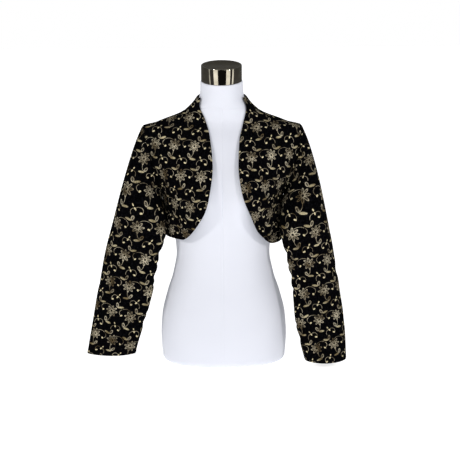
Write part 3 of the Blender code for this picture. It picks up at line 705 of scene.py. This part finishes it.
def make_cloth(name, walls, flat, tube=False, mirrored=False):
    """A wall of cloth between outer and inner points, closed along its edges.

    Its UV map is its place on the flat cloth.
    """
    outer, inner = soften_edges(walls, tube)
    rows, columns = outer.shape[:2]
    points = np.concatenate((outer.reshape(-1, 3), inner.reshape(-1, 3)))
    under = rows * columns
    last = rows - 1
    spans = columns if tube else columns - 1
    half = columns // 2

    def at(row, column):
        return row * columns + column % columns

    faces = []
    spots = []
    for row in range(last):
        for column in range(spans):
            places = ((row, column), (row, column + 1), (row + 1, column + 1), (row + 1, column))
            loop = tuple(at(*place) for place in places)
            if tube:
                shift = 1 if column >= half else 0
                cut = [flat[r, c + shift] for r, c in places]
            else:
                cut = [flat[r, c] for r, c in places]
            faces.append(loop)
            spots.append(cut)
            faces.append(tuple(under + corner for corner in reversed(loop)))
            spots.append(cut[::-1])
    edges = [((0, column + 1), (0, column)) for column in range(spans)]
    edges += [((last, column), (last, column + 1)) for column in range(spans)]
    if not tube:
        edges += [((row, 0), (row + 1, 0)) for row in range(last)]
        edges += [((row + 1, spans), (row, spans)) for row in range(last)]
    for a, b in edges:
        faces.append((at(*a), at(*b), under + at(*b), under + at(*a)))
        if tube:
            shift = 1 if min(a[1], b[1]) >= half else 0
            cut = [flat[a[0], a[1] + shift], flat[b[0], b[1] + shift]]
        else:
            cut = [flat[a], flat[b]]
        spots.append([cut[0], cut[1], cut[1], cut[0]])
    if mirrored:
        faces = [tuple(reversed(face)) for face in faces]
        spots = [cut[::-1] for cut in spots]
    mesh = bpy.data.meshes.new(name)
    mesh.from_pydata([tuple(point) for point in points], [], faces)
    layer = mesh.uv_layers.new(name="cloth")
    layer.data.foreach_set("uv", np.array(spots, dtype=np.float32).ravel())
    mesh.shade_smooth()
    piece = bpy.data.objects.new(name, mesh)
    bpy.context.collection.objects.link(piece)
    return piece


def linear(hex_colour):
    """An sRGB hex colour as linear red, green, blue and alpha."""
    parts = [int(hex_colour[place:place + 2], 16) / 255 for place in (1, 3, 5)]
    return (*(c / 12.92 if c <= 0.04045 else ((c + 0.055) / 1.055) ** 2.4 for c in parts), 1.0)


def add(tree, kind, settings=None, links=None, out=0):
    """Add one node, set it, fill or link its inputs, and return one of its outputs."""
    node = tree.nodes.new(kind)
    for name, value in (settings or {}).items():
        setattr(node, name, value)
    for socket, value in (links or {}).items():
        if isinstance(value, bpy.types.NodeSocket):
            tree.links.new(value, node.inputs[socket])
        else:
            node.inputs[socket].default_value = value
    return node.outputs[out] if len(node.outputs) else None


def new_material(name):
    """An empty node material, its tree and its Principled shader."""
    finish = bpy.data.materials.new(name)
    finish.use_nodes = True
    return finish, finish.node_tree, finish.node_tree.nodes["Principled BSDF"]


def nearest(tree, fields):
    """The least of several fields."""
    least = fields[0]
    for field in fields[1:]:
        least = add(tree, "ShaderNodeMath", {"operation": "MINIMUM"}, {0: least, 1: field})
    return least


def in_repeat(tree, place, x):
    """The place moved whole repeats along its row until it is beside x."""
    half = REPEAT / 2
    return add(tree, "ShaderNodeVectorMath", {"operation": "WRAP"},
               {0: place, 1: (x * MM + half, 1.0, 1.0), 2: (x * MM - half, -1.0, -1.0)})


def ovals(tree, place, rows):
    """A field that is 0 at the middle of each oval and 1 on its outline."""
    fields = []
    for row in rows:
        oval = dict(zip(OVAL_NAMES, row))
        near = in_repeat(tree, place, oval["x"])
        local = add(tree, "ShaderNodeMapping", {"vector_type": "TEXTURE"},
                    {"Vector": near, "Location": (oval["x"] * MM, oval["y"] * MM, 0),
                     "Rotation": (0, 0, np.radians(oval["turn"])),
                     "Scale": (oval["half_length"] * MM, oval["half_width"] * MM, 1)})
        fields.append(add(tree, "ShaderNodeVectorMath", {"operation": "LENGTH"},
                          {0: local}, out="Value"))
    return nearest(tree, fields)


def arcs(tree, place, rows):
    """A field that is 0 along the middle of each tendril and 1 at its sides and ends."""
    fields = []
    for row in rows:
        arc = dict(zip(ARC_NAMES, row))
        near = in_repeat(tree, place, arc["x"])
        local = add(tree, "ShaderNodeMapping", {"vector_type": "TEXTURE"},
                    {"Vector": near, "Location": (arc["x"] * MM, arc["y"] * MM, 0),
                     "Rotation": (0, 0, np.radians(arc["middle"])),
                     "Scale": (arc["radius"] * MM, arc["radius"] * MM, 1)})
        length = add(tree, "ShaderNodeVectorMath", {"operation": "LENGTH"},
                     {0: local}, out="Value")
        slim = arc["radius"] / arc["half_width"]
        off = add(tree, "ShaderNodeMath", {"operation": "MULTIPLY_ADD"},
                  {0: length, 1: slim, 2: -slim})
        off = add(tree, "ShaderNodeMath", {"operation": "ABSOLUTE"}, {0: off})
        ahead = add(tree, "ShaderNodeSeparateXYZ", None, {0: local})
        end = float(np.cos(np.radians(arc["half"])))
        past = add(tree, "ShaderNodeMath", {"operation": "MULTIPLY_ADD"},
                   {0: ahead, 1: -slim, 2: slim * end + 1})
        fields.append(add(tree, "ShaderNodeMath", {"operation": "MAXIMUM"}, {0: off, 1: past}))
    return nearest(tree, fields)


def petals(tree, place):
    """A field that is 0 at the middle of each petal of a flower and 1 on its outline."""
    near = in_repeat(tree, place, 0.0)
    x = add(tree, "ShaderNodeSeparateXYZ", None, {0: near})
    y = x.node.outputs["Y"]
    turn = add(tree, "ShaderNodeMath", {"operation": "ARCTAN2"}, {0: y, 1: x})
    wedge = 2 * np.pi / PETALS
    turn = add(tree, "ShaderNodeMath", {"operation": "WRAP"},
               {0: turn, 1: wedge / 2, 2: -wedge / 2})
    reach = add(tree, "ShaderNodeVectorMath", {"operation": "LENGTH"},
                {0: add(tree, "ShaderNodeCombineXYZ", None, {"X": x, "Y": y})}, out="Value")
    cosine = add(tree, "ShaderNodeMath", {"operation": "COSINE"}, {0: turn})
    sine = add(tree, "ShaderNodeMath", {"operation": "SINE"}, {0: turn})
    along = add(tree, "ShaderNodeMath", {"operation": "MULTIPLY"}, {0: reach, 1: cosine})
    beside = add(tree, "ShaderNodeMath", {"operation": "MULTIPLY"}, {0: reach, 1: sine})
    folded = add(tree, "ShaderNodeCombineXYZ", None, {"X": along, "Y": beside})
    local = add(tree, "ShaderNodeMapping", {"vector_type": "TEXTURE"},
                {"Vector": folded, "Location": (PETAL["x"] * MM, 0, 0),
                 "Scale": (PETAL["half_length"] * MM, PETAL["half_width"] * MM, 1)})
    return add(tree, "ShaderNodeVectorMath", {"operation": "LENGTH"}, {0: local}, out="Value")


def within(tree, field, low, high):
    """1 where a field is under low, 0 where it is over high, soft between."""
    return add(tree, "ShaderNodeMapRange", {"interpolation_type": "SMOOTHSTEP"},
               {"Value": field, "From Min": low, "From Max": high, "To Min": 1.0, "To Max": 0.0})


def brocade():
    """Black cut pile with flowers woven in dull gold thread, rows alternately mirrored.

    The pile is deep matt black with next to no shine; its faint sheen is painted into its colour
    as lighter patches. The thread is rough, part metallic, uneven and worn, and stands a little
    above the pile.
    """
    finish, tree, shader = new_material("gold_flowered_black_brocade")
    cut = add(tree, "ShaderNodeUVMap", {"uv_map": "cloth"})
    waver = add(tree, "ShaderNodeTexNoise", None,
                {"Vector": cut, "Scale": WAVER_SCALE, "Detail": 2.0}, out="Color")
    waver = add(tree, "ShaderNodeVectorMath", {"operation": "MULTIPLY_ADD"},
                {0: waver, 1: (2 * WAVER, 2 * WAVER, 0.0), 2: (-WAVER, -WAVER, 0.0)})
    drawn_at = add(tree, "ShaderNodeVectorMath", {"operation": "ADD"}, {0: cut, 1: waver})
    u = add(tree, "ShaderNodeSeparateXYZ", None, {0: drawn_at})
    v = u.node.outputs["Y"]
    row = add(tree, "ShaderNodeMath", {"operation": "MULTIPLY_ADD"},
              {0: v, 1: 1 / ROW_HEIGHT, 2: ROW_FOOT / ROW_HEIGHT})
    row = add(tree, "ShaderNodeMath", {"operation": "FLOOR"}, {0: row})
    odd = add(tree, "ShaderNodeMath", {"operation": "PINGPONG"}, {0: row, 1: 1.0})
    mirror = add(tree, "ShaderNodeMath", {"operation": "MULTIPLY_ADD"}, {0: odd, 1: -2.0, 2: 1.0})
    up = add(tree, "ShaderNodeMath", {"operation": "MULTIPLY_ADD"},
             {0: row, 1: -ROW_HEIGHT, 2: v})
    slide = add(tree, "ShaderNodeMath", {"operation": "MULTIPLY_ADD"},
                {0: odd, 1: REPEAT * 0.5, 2: u})
    over = add(tree, "ShaderNodeMath", {"operation": "MULTIPLY"}, {0: slide, 1: mirror})
    place = add(tree, "ShaderNodeCombineXYZ", None, {"X": over, "Y": up})

    drawn = nearest(tree, [petals(tree, place), ovals(tree, place, LEAVES)])
    blade = ovals(tree, place, BLADES)
    inside = within(tree, drawn, 0.56, 0.80)
    hatch = add(tree, "ShaderNodeTexWave", {"wave_type": "BANDS", "bands_direction": "DIAGONAL"},
                {"Vector": cut, "Scale": HATCH_SCALE, "Distortion": 2.0, "Detail": 1.0},
                out="Fac")
    hatch = add(tree, "ShaderNodeMapRange", None, {"Value": hatch, "To Min": 0.66, "To Max": 1.0})
    fill = add(tree, "ShaderNodeMath", {"operation": "MULTIPLY"}, {0: inside, 1: hatch})
    fill = add(tree, "ShaderNodeMath", {"operation": "SUBTRACT"}, {0: 1.0, 1: fill})
    outline = add(tree, "ShaderNodeMath", {"operation": "MULTIPLY"},
                  {0: within(tree, drawn, 0.92, 1.10), 1: fill})
    leafy = within(tree, blade, 0.86, 1.10)
    bright = within(tree, ovals(tree, place, DROPS), 0.86, 1.10)
    thread = within(tree, arcs(tree, place, ARCS), 0.60, 1.40)
    gold = outline
    for mask in (leafy, bright, thread):
        gold = add(tree, "ShaderNodeMath", {"operation": "MAXIMUM"}, {0: gold, 1: mask})
    loose = add(tree, "ShaderNodeTexNoise", None,
                {"Vector": cut, "Scale": LOOSE_SCALE, "Detail": 2.0}, out="Fac")
    loose = add(tree, "ShaderNodeMapRange", None,
                {"Value": loose, "From Min": 0.32, "From Max": 0.54,
                 "To Min": 0.35, "To Max": 1.05})
    gold = add(tree, "ShaderNodeMath", {"operation": "MULTIPLY"}, {0: gold, 1: loose})

    worn = add(tree, "ShaderNodeTexNoise", None,
               {"Vector": cut, "Scale": WORN_SCALE, "Detail": 3.0, "Roughness": 0.6}, out="Fac")
    worn = add(tree, "ShaderNodeMapRange", None,
               {"Value": worn, "From Min": 0.38, "From Max": 0.64, "To Min": 0.0, "To Max": 1.0})
    thread_colour = add(tree, "ShaderNodeMix", {"data_type": "RGBA"},
                        {"Factor": worn, 6: linear(THREAD_WORN), 7: linear(THREAD)}, out=2)
    leaf_colour = add(tree, "ShaderNodeMix", {"data_type": "RGBA"},
                      {"Factor": worn, 6: linear(LEAF_WORN), 7: linear(LEAF)}, out=2)
    thread_colour = add(tree, "ShaderNodeMix", {"data_type": "RGBA"},
                        {"Factor": leafy, 6: thread_colour, 7: leaf_colour}, out=2)
    thread_colour = add(tree, "ShaderNodeMix", {"data_type": "RGBA"},
                        {"Factor": bright, 6: thread_colour, 7: linear(BUD)}, out=2)
    pile = add(tree, "ShaderNodeTexNoise", None,
               {"Vector": cut, "Scale": PILE_SCALE, "Detail": 2.0}, out="Fac")
    # painted sheen: the pile's colour is lightened in 4 mm patches where its shine would be
    pile_sheen = add(tree, "ShaderNodeTexNoise", None,
              {"Vector": cut, "Scale": PILE_SHEEN_SCALE, "Detail": 3.0, "Roughness": 0.7}, out="Fac")
    pile_sheen = add(tree, "ShaderNodeMapRange", None, {"Value": pile_sheen, "From Min": 0.47, "From Max": 0.66})
    ground = add(tree, "ShaderNodeMix", {"data_type": "RGBA"},
                 {"Factor": pile_sheen, 6: linear(PILE), 7: linear(PILE_LIT)}, out=2)
    colour = add(tree, "ShaderNodeMix", {"data_type": "RGBA"},
                 {"Factor": gold, 6: ground, 7: thread_colour}, out=2)
    tree.links.new(colour, shader.inputs["Base Color"])
    metallic = add(tree, "ShaderNodeMath", {"operation": "MULTIPLY"}, {0: gold, 1: 0.35})
    tree.links.new(metallic, shader.inputs["Metallic"])
    rough = add(tree, "ShaderNodeMapRange", None,
                {"Value": gold, "From Min": 0.0, "From Max": 1.0, "To Min": 0.95, "To Max": 0.55})
    tree.links.new(rough, shader.inputs["Roughness"])
    shader.inputs["Specular IOR Level"].default_value = 0.02
    height = add(tree, "ShaderNodeMath", {"operation": "MULTIPLY_ADD"},
                 {0: pile, 1: PILE_SHARE, 2: gold})
    bump = add(tree, "ShaderNodeBump", None,
               {"Height": height, "Strength": 0.6, "Distance": THREAD_RISE})
    tree.links.new(bump, shader.inputs["Normal"])
    return finish


def jersey():
    """White stretch jersey, pulled smooth over a padded form: a matt, fine knit, soft sheen."""
    finish, tree, shader = new_material("white_stretch_jersey")
    place = add(tree, "ShaderNodeTexCoord", out="Object")
    soil = add(tree, "ShaderNodeTexNoise", None,
               {"Vector": place, "Scale": 7.0, "Detail": 3.0}, out="Fac")
    colour = add(tree, "ShaderNodeMix", {"data_type": "RGBA"},
                 {"Factor": soil, 6: linear("#cccfd9"), 7: linear("#d2d5de")}, out=2)
    tree.links.new(colour, shader.inputs["Base Color"])
    # knit ribs of about 1 mm, drawn at 2.9 mm so that they show
    ribs = add(tree, "ShaderNodeTexWave", {"wave_type": "BANDS", "bands_direction": "X"},
               {"Vector": place, "Scale": 110.0, "Distortion": 0.6, "Detail": 1.0}, out="Fac")
    grain = add(tree, "ShaderNodeTexNoise", None,
                {"Vector": place, "Scale": 600.0, "Detail": 2.0}, out="Fac")
    height = add(tree, "ShaderNodeMath", {"operation": "ADD"}, {0: ribs, 1: grain})
    bump = add(tree, "ShaderNodeBump", None,
               {"Height": height, "Strength": 0.25, "Distance": 0.0003})
    tree.links.new(bump, shader.inputs["Normal"])
    shader.inputs["Roughness"].default_value = 0.72
    shader.inputs["Sheen Weight"].default_value = 0.2
    shader.inputs["Specular IOR Level"].default_value = 0.3
    return finish


def nickel(name, colour, roughness):
    """Polished nickel plate: a clear dark mirror with the faintest hand marks."""
    finish, tree, shader = new_material(name)
    place = add(tree, "ShaderNodeTexCoord", out="Object")
    marks = add(tree, "ShaderNodeTexNoise", None,
                {"Vector": place, "Scale": 60.0, "Detail": 4.0}, out="Fac")
    rough = add(tree, "ShaderNodeMapRange", None,
                {"Value": marks, "From Min": 0.3, "From Max": 0.7,
                 "To Min": roughness * 0.8, "To Max": roughness * 1.3})
    tree.links.new(rough, shader.inputs["Roughness"])
    tint = add(tree, "ShaderNodeMix", {"data_type": "RGBA"},
               {"Factor": marks, 6: linear(colour), 7: linear("#6f6b60")}, out=2)
    tree.links.new(tint, shader.inputs["Base Color"])
    shader.inputs["Metallic"].default_value = 1.0
    return finish


def select_faces(piece, wanted):
    """Select, for edit mode, only the faces that are wanted."""
    bpy.ops.object.mode_set(mode="EDIT")
    bpy.ops.mesh.select_mode(type="FACE")
    bpy.ops.mesh.select_all(action="DESELECT")
    bpy.ops.object.mode_set(mode="OBJECT")
    for face in piece.data.polygons:
        face.select = bool(wanted(face))


JACKET = table(BODY_NAMES, JACKET_ROWS)
FORM = table(BODY_NAMES, FORM_ROWS)

# the jacket
cloth = brocade()
walls = {
    "back": back_walls(table(FOLD_NAMES, BACK_FOLDS)),
    "front_left": front_walls(1, ARMHOLE_REACH_LEFT_FRONT, EDGE_LEFT_ROWS,
                              table(FOLD_NAMES, FRONT_LEFT_FOLDS)),
    "front_right": front_walls(-1, ARMHOLE_REACH_RIGHT_FRONT, EDGE_RIGHT_ROWS,
                               table(FOLD_NAMES, FRONT_RIGHT_FOLDS)),
    "collar_back": collar_walls(table(FOLD_NAMES, NO_FOLDS)),
    "sleeve_left": sleeve_walls(1, ARMHOLE_REACH_LEFT_FRONT, SLEEVE_LEFT_ROWS, CUFF_RISE_LEFT,
                                table(FOLD_NAMES, FRONT_LEFT_FOLDS),
                                table(SLEEVE_FOLD_NAMES, SLEEVE_LEFT_FOLDS)),
    "sleeve_right": sleeve_walls(-1, ARMHOLE_REACH_RIGHT_FRONT, SLEEVE_RIGHT_ROWS,
                                 CUFF_RISE_RIGHT,
                                 table(FOLD_NAMES, FRONT_RIGHT_FOLDS),
                                 table(SLEEVE_FOLD_NAMES, SLEEVE_RIGHT_FOLDS)),
}
for name, wall in walls.items():
    cut = dict(zip(CUT_NAMES, CUTS[name]))
    flat = flatten(wall[0], tube=name.startswith("sleeve")) - (cut["flower_x"], cut["flower_y"])
    piece = make_cloth(f"{name}_brocade", wall, flat, tube=name.startswith("sleeve"),
                       mirrored=name in ("front_right", "sleeve_right"))
    piece.data.materials.append(cloth)
    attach(piece, "root")
    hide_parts(name)

# the form, its base edge rounded, with sewn seams down the middle and round the neck
FORM_TOP = 0.755
FORM_BASE_ROUND = 0.015
FORM_TOP_ROUND = 0.003
FORM_SIDES = 240
FORM_LEVELS = 200
BASE_ROUND_STEPS = 9
TOP_ROUND_STEPS = 6
NECK_SEAM = 0.688
SEAM_WIDTH = 0.0014
SEAM_DEPTH = 0.0007
# extra columns and rows close beside a seam, so that it stays sharp
SEAM_DEGREES = (-1.6, -0.8, -0.4, 0.0, 0.4, 0.8, 1.6)
SEAM_MM = (-2.0, -1.0, -0.5, 0.0, 0.5, 1.0, 2.0)
SHARP_ANGLE = np.radians(50)
fine = np.linspace(0, 2 * np.pi, FORM_SIDES + 1)[:-1]
beside = np.radians(SEAM_DEGREES)
angles = np.unique(np.concatenate((fine, (beside % (2 * np.pi)), np.pi + beside)).round(6))
heights = [(FORM_BASE_ROUND * (1 - np.cos(t)), FORM_BASE_ROUND * (1 - np.sin(t)))
           for t in np.linspace(0, np.pi / 2, BASE_ROUND_STEPS + 1)[:-1]]
plain = np.linspace(FORM_BASE_ROUND, FORM_TOP - FORM_TOP_ROUND, FORM_LEVELS)[:-1]
plain = np.concatenate((plain, NECK_SEAM + np.array(SEAM_MM) * MM))
heights += [(height, 0.0) for height in np.sort(plain)]
heights += [(FORM_TOP - FORM_TOP_ROUND * (1 - np.sin(t)), FORM_TOP_ROUND * (1 - np.cos(t)))
            for t in np.linspace(0, np.pi / 2, TOP_ROUND_STEPS + 1)]
rings = np.array([body_points(FORM, FORM_BUST, angles, np.full(len(angles), height), inset)
                  for height, inset in heights])
level = np.array([height for height, inset in heights])[:, None]
sunk = np.exp(-(rings[..., 0] / SEAM_WIDTH) ** 2) * (level < NECK_SEAM)
sunk = np.maximum(sunk, np.exp(-((level - NECK_SEAM) / SEAM_WIDTH) ** 2))
inward = unit((rings.mean(axis=1, keepdims=True) - rings) * (1, 1, 0))
rings = rings + inward * (SEAM_DEPTH * sunk * (level > FORM_BASE_ROUND))[..., None]
count, sides = rings.shape[:2]
points = np.concatenate((rings.reshape(-1, 3), [rings[0].mean(axis=0)], [rings[-1].mean(axis=0)]))
faces = []
for side in range(sides):
    turn = (side + 1) % sides
    faces.append((turn, side, count * sides))
    faces.append(((count - 1) * sides + side, (count - 1) * sides + turn, count * sides + 1))
    for row in range(0, (count - 1) * sides, sides):
        faces.append((row + side, row + turn, row + sides + turn, row + sides + side))
mesh = bpy.data.meshes.new("form_torso_jersey")
mesh.from_pydata([tuple(point) for point in points], [], faces)
mesh.materials.append(jersey())
mesh.shade_smooth()
mesh.set_sharp_from_angle(angle=SHARP_ANGLE)
torso = bpy.data.objects.new("form_torso_jersey", mesh)
bpy.context.collection.objects.link(torso)
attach(torso, "root")
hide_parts("form_torso")

# the neck cap: a leaning metal lid whose flat top sits inside a rounded rim
CAP_RADIUS = 0.0529
CAP_HEIGHT = 0.0412
CAP_SIDES = 128
CAP_CENTRE_Y = -0.012
CAP_LEAN = np.arctan(0.12)
CAP_GAP = 0.0003
CAP_RIM = 0.0042
CAP_SUNK = 0.0007
CAP_FOOT_ROUND = 0.0009
CAP_FOOT_STEPS = 4
CAP_RIM_ROUND = 0.0014
CAP_RIM_STEPS = 5
# how squarely a face looks down or up to be the cap's underside or top
FACING = 0.9
bpy.ops.object.select_all(action="DESELECT")
bpy.ops.mesh.primitive_cylinder_add(
    vertices=CAP_SIDES, radius=CAP_RADIUS, depth=CAP_HEIGHT,
    location=(0, CAP_CENTRE_Y - np.sin(CAP_LEAN) * CAP_HEIGHT / 2,
              FORM_TOP + CAP_GAP + np.cos(CAP_LEAN) * CAP_HEIGHT / 2),
    rotation=(CAP_LEAN, 0, 0))
cap = bpy.context.object
cap.name = "form_neck_cap_nickel"
cap.data.materials.append(nickel("polished_nickel", "#b4afa2", 0.05))
cap.data.materials.append(nickel("brushed_dark_nickel", "#6a665c", 0.40))
select_faces(cap, lambda face: face.normal.z < -FACING)
bpy.ops.object.mode_set(mode="EDIT")
bpy.ops.mesh.region_to_loop()
bpy.ops.mesh.bevel(offset=CAP_FOOT_ROUND, segments=CAP_FOOT_STEPS, affect="EDGES")
bpy.ops.object.mode_set(mode="OBJECT")
select_faces(cap, lambda face: face.normal.z > FACING)
bpy.ops.object.mode_set(mode="EDIT")
bpy.ops.mesh.region_to_loop()
bpy.ops.mesh.bevel(offset=CAP_RIM_ROUND, segments=CAP_RIM_STEPS, affect="EDGES")
bpy.ops.object.mode_set(mode="OBJECT")
select_faces(cap, lambda face: face.normal.z > FACING and len(face.vertices) == CAP_SIDES)
bpy.ops.object.mode_set(mode="EDIT")
bpy.ops.mesh.inset(thickness=CAP_RIM - CAP_RIM_ROUND)
bpy.ops.mesh.inset(thickness=CAP_SUNK, depth=-CAP_SUNK)
bpy.context.object.active_material_index = 1
bpy.ops.object.material_slot_assign()
bpy.ops.object.mode_set(mode="OBJECT")
bpy.ops.object.transform_apply(location=True, rotation=True, scale=True)
bpy.ops.object.shade_smooth_by_angle(angle=SHARP_ANGLE)
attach(cap, "root")
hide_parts("form_neck_cap")

# the stage: a pale floor, a soft studio, and the camera at the photograph's angle
FLOOR_SIZE = 14
FLOOR_DROP = 0.0005
bpy.ops.object.select_all(action="DESELECT")
bpy.ops.mesh.primitive_plane_add(size=FLOOR_SIZE, location=(0, 0, -FLOOR_DROP))
floor = bpy.context.object
floor.name = "studio_floor"
finish, tree, shader = new_material("pale_studio_floor")
shader.inputs["Base Color"].default_value = linear("#fafafa")
shader.inputs["Roughness"].default_value = 0.9
shader.inputs["Emission Color"].default_value = linear("#ffffff")
shader.inputs["Emission Strength"].default_value = 0.7
floor.data.materials.append(finish)
floor.visible_glossy = False

world = bpy.data.worlds.new("studio")
bpy.context.scene.world = world
world.use_nodes = True
tree = world.node_tree
sky = tree.nodes["Background"]
# white behind the object, a soft grey-blue on it, and what metal mirrors, by degrees round the
# studio: dark walls, two soft boxes and two thin strips, all a little warm
BACKDROP = (1.0, 1.0, 1.0, 1.0)
AMBIENT = (0.44, 0.45, 0.465, 1.0)
WARMTH = (1.0, 0.98, 0.93)
STUDIO = (
    (-180, 0.13),
    (-76, 1.10),
    (-70, 0.09),
    (-47, 2.40),
    (-22, 0.015),
    (27, 2.40),
    (51, 0.02),
    (64, 1.90),
    (74, 0.13),
)
direction = add(tree, "ShaderNodeTexCoord")
x = add(tree, "ShaderNodeSeparateXYZ", None, {0: direction})
ahead = add(tree, "ShaderNodeMath", {"operation": "MULTIPLY"}, {0: x.node.outputs["Y"], 1: -1.0})
turn = add(tree, "ShaderNodeMath", {"operation": "ARCTAN2"}, {0: x, 1: ahead})
turn = add(tree, "ShaderNodeMath", {"operation": "MULTIPLY_ADD"},
           {0: turn, 1: 1 / (2 * np.pi), 2: 0.5})
room = add(tree, "ShaderNodeValToRGB", None, {0: turn})
ramp = room.node.color_ramp
ramp.interpolation = "CONSTANT"
for place, (start, brightness) in enumerate(STUDIO):
    spot = (start + 180) / 360
    stop = ramp.elements[0] if place == 0 else ramp.elements.new(spot)
    stop.position = spot
    stop.color = (*(brightness * share for share in WARMTH), 1.0)
# the white stop that every new ramp ends with
ramp.elements.remove(ramp.elements[len(ramp.elements) - 1])
rays = add(tree, "ShaderNodeLightPath")
seen = add(tree, "ShaderNodeMix", {"data_type": "RGBA"},
           {"Factor": rays.node.outputs["Is Diffuse Ray"],
            6: BACKDROP, 7: AMBIENT}, out=2)
seen = add(tree, "ShaderNodeMix", {"data_type": "RGBA"},
           {"Factor": rays.node.outputs["Is Glossy Ray"], 6: seen, 7: room}, out=2)
tree.links.new(seen, sky.inputs["Color"])
sky.inputs["Strength"].default_value = 1.0

# two soft lamps in front, left and right, aimed at the jacket: place, size, watts and colour
LIGHTS = (
    ("key", (-2.0, -1.95, 1.6), 0.18, 31.5, "#fffaf4"),
    ("fill", (2.0, -1.95, 1.5), 0.25, 28.5, "#fffaf6"),
)
LIGHT_TARGET = Vector((0, 0, 0.4))
for name, place, size, power, tint in LIGHTS:
    lamp = bpy.data.lights.new(name, "AREA")
    lamp.size = size
    lamp.energy = power
    lamp.color = linear(tint)[:3]
    light = bpy.data.objects.new(name, lamp)
    light.location = place
    aim = LIGHT_TARGET - Vector(place)
    light.rotation_euler = aim.to_track_quat("-Z", "Y").to_euler()
    bpy.context.collection.objects.link(light)

# the camera, as the photograph's: its height, distance, aim, scale and slight roll
ELEVATION = np.radians(13.2)
DISTANCE = 4.3
TARGET = Vector((0.0189, 0.0, 0.354))
METRES_PER_PIXEL = 0.002655
PHOTO_PIXELS = 460
SENSOR = 36.0
ROLL = np.radians(-0.45)
lens = bpy.data.cameras.new("camera")
lens.sensor_width = SENSOR
lens.lens = SENSOR * DISTANCE / (PHOTO_PIXELS * METRES_PER_PIXEL)
camera = bpy.data.objects.new("camera", lens)
away = Vector((0, -np.cos(ELEVATION), np.sin(ELEVATION)))
turn = (-away).to_track_quat("-Z", "Y").to_matrix() @ Matrix.Rotation(ROLL, 3, "Z")
camera.matrix_world = Matrix.LocRotScale(TARGET + DISTANCE * away, turn, None)
bpy.context.collection.objects.link(camera)
bpy.context.scene.camera = camera
bpy.context.scene.view_settings.view_transform = "Standard"

bpy.context.view_layer.update()
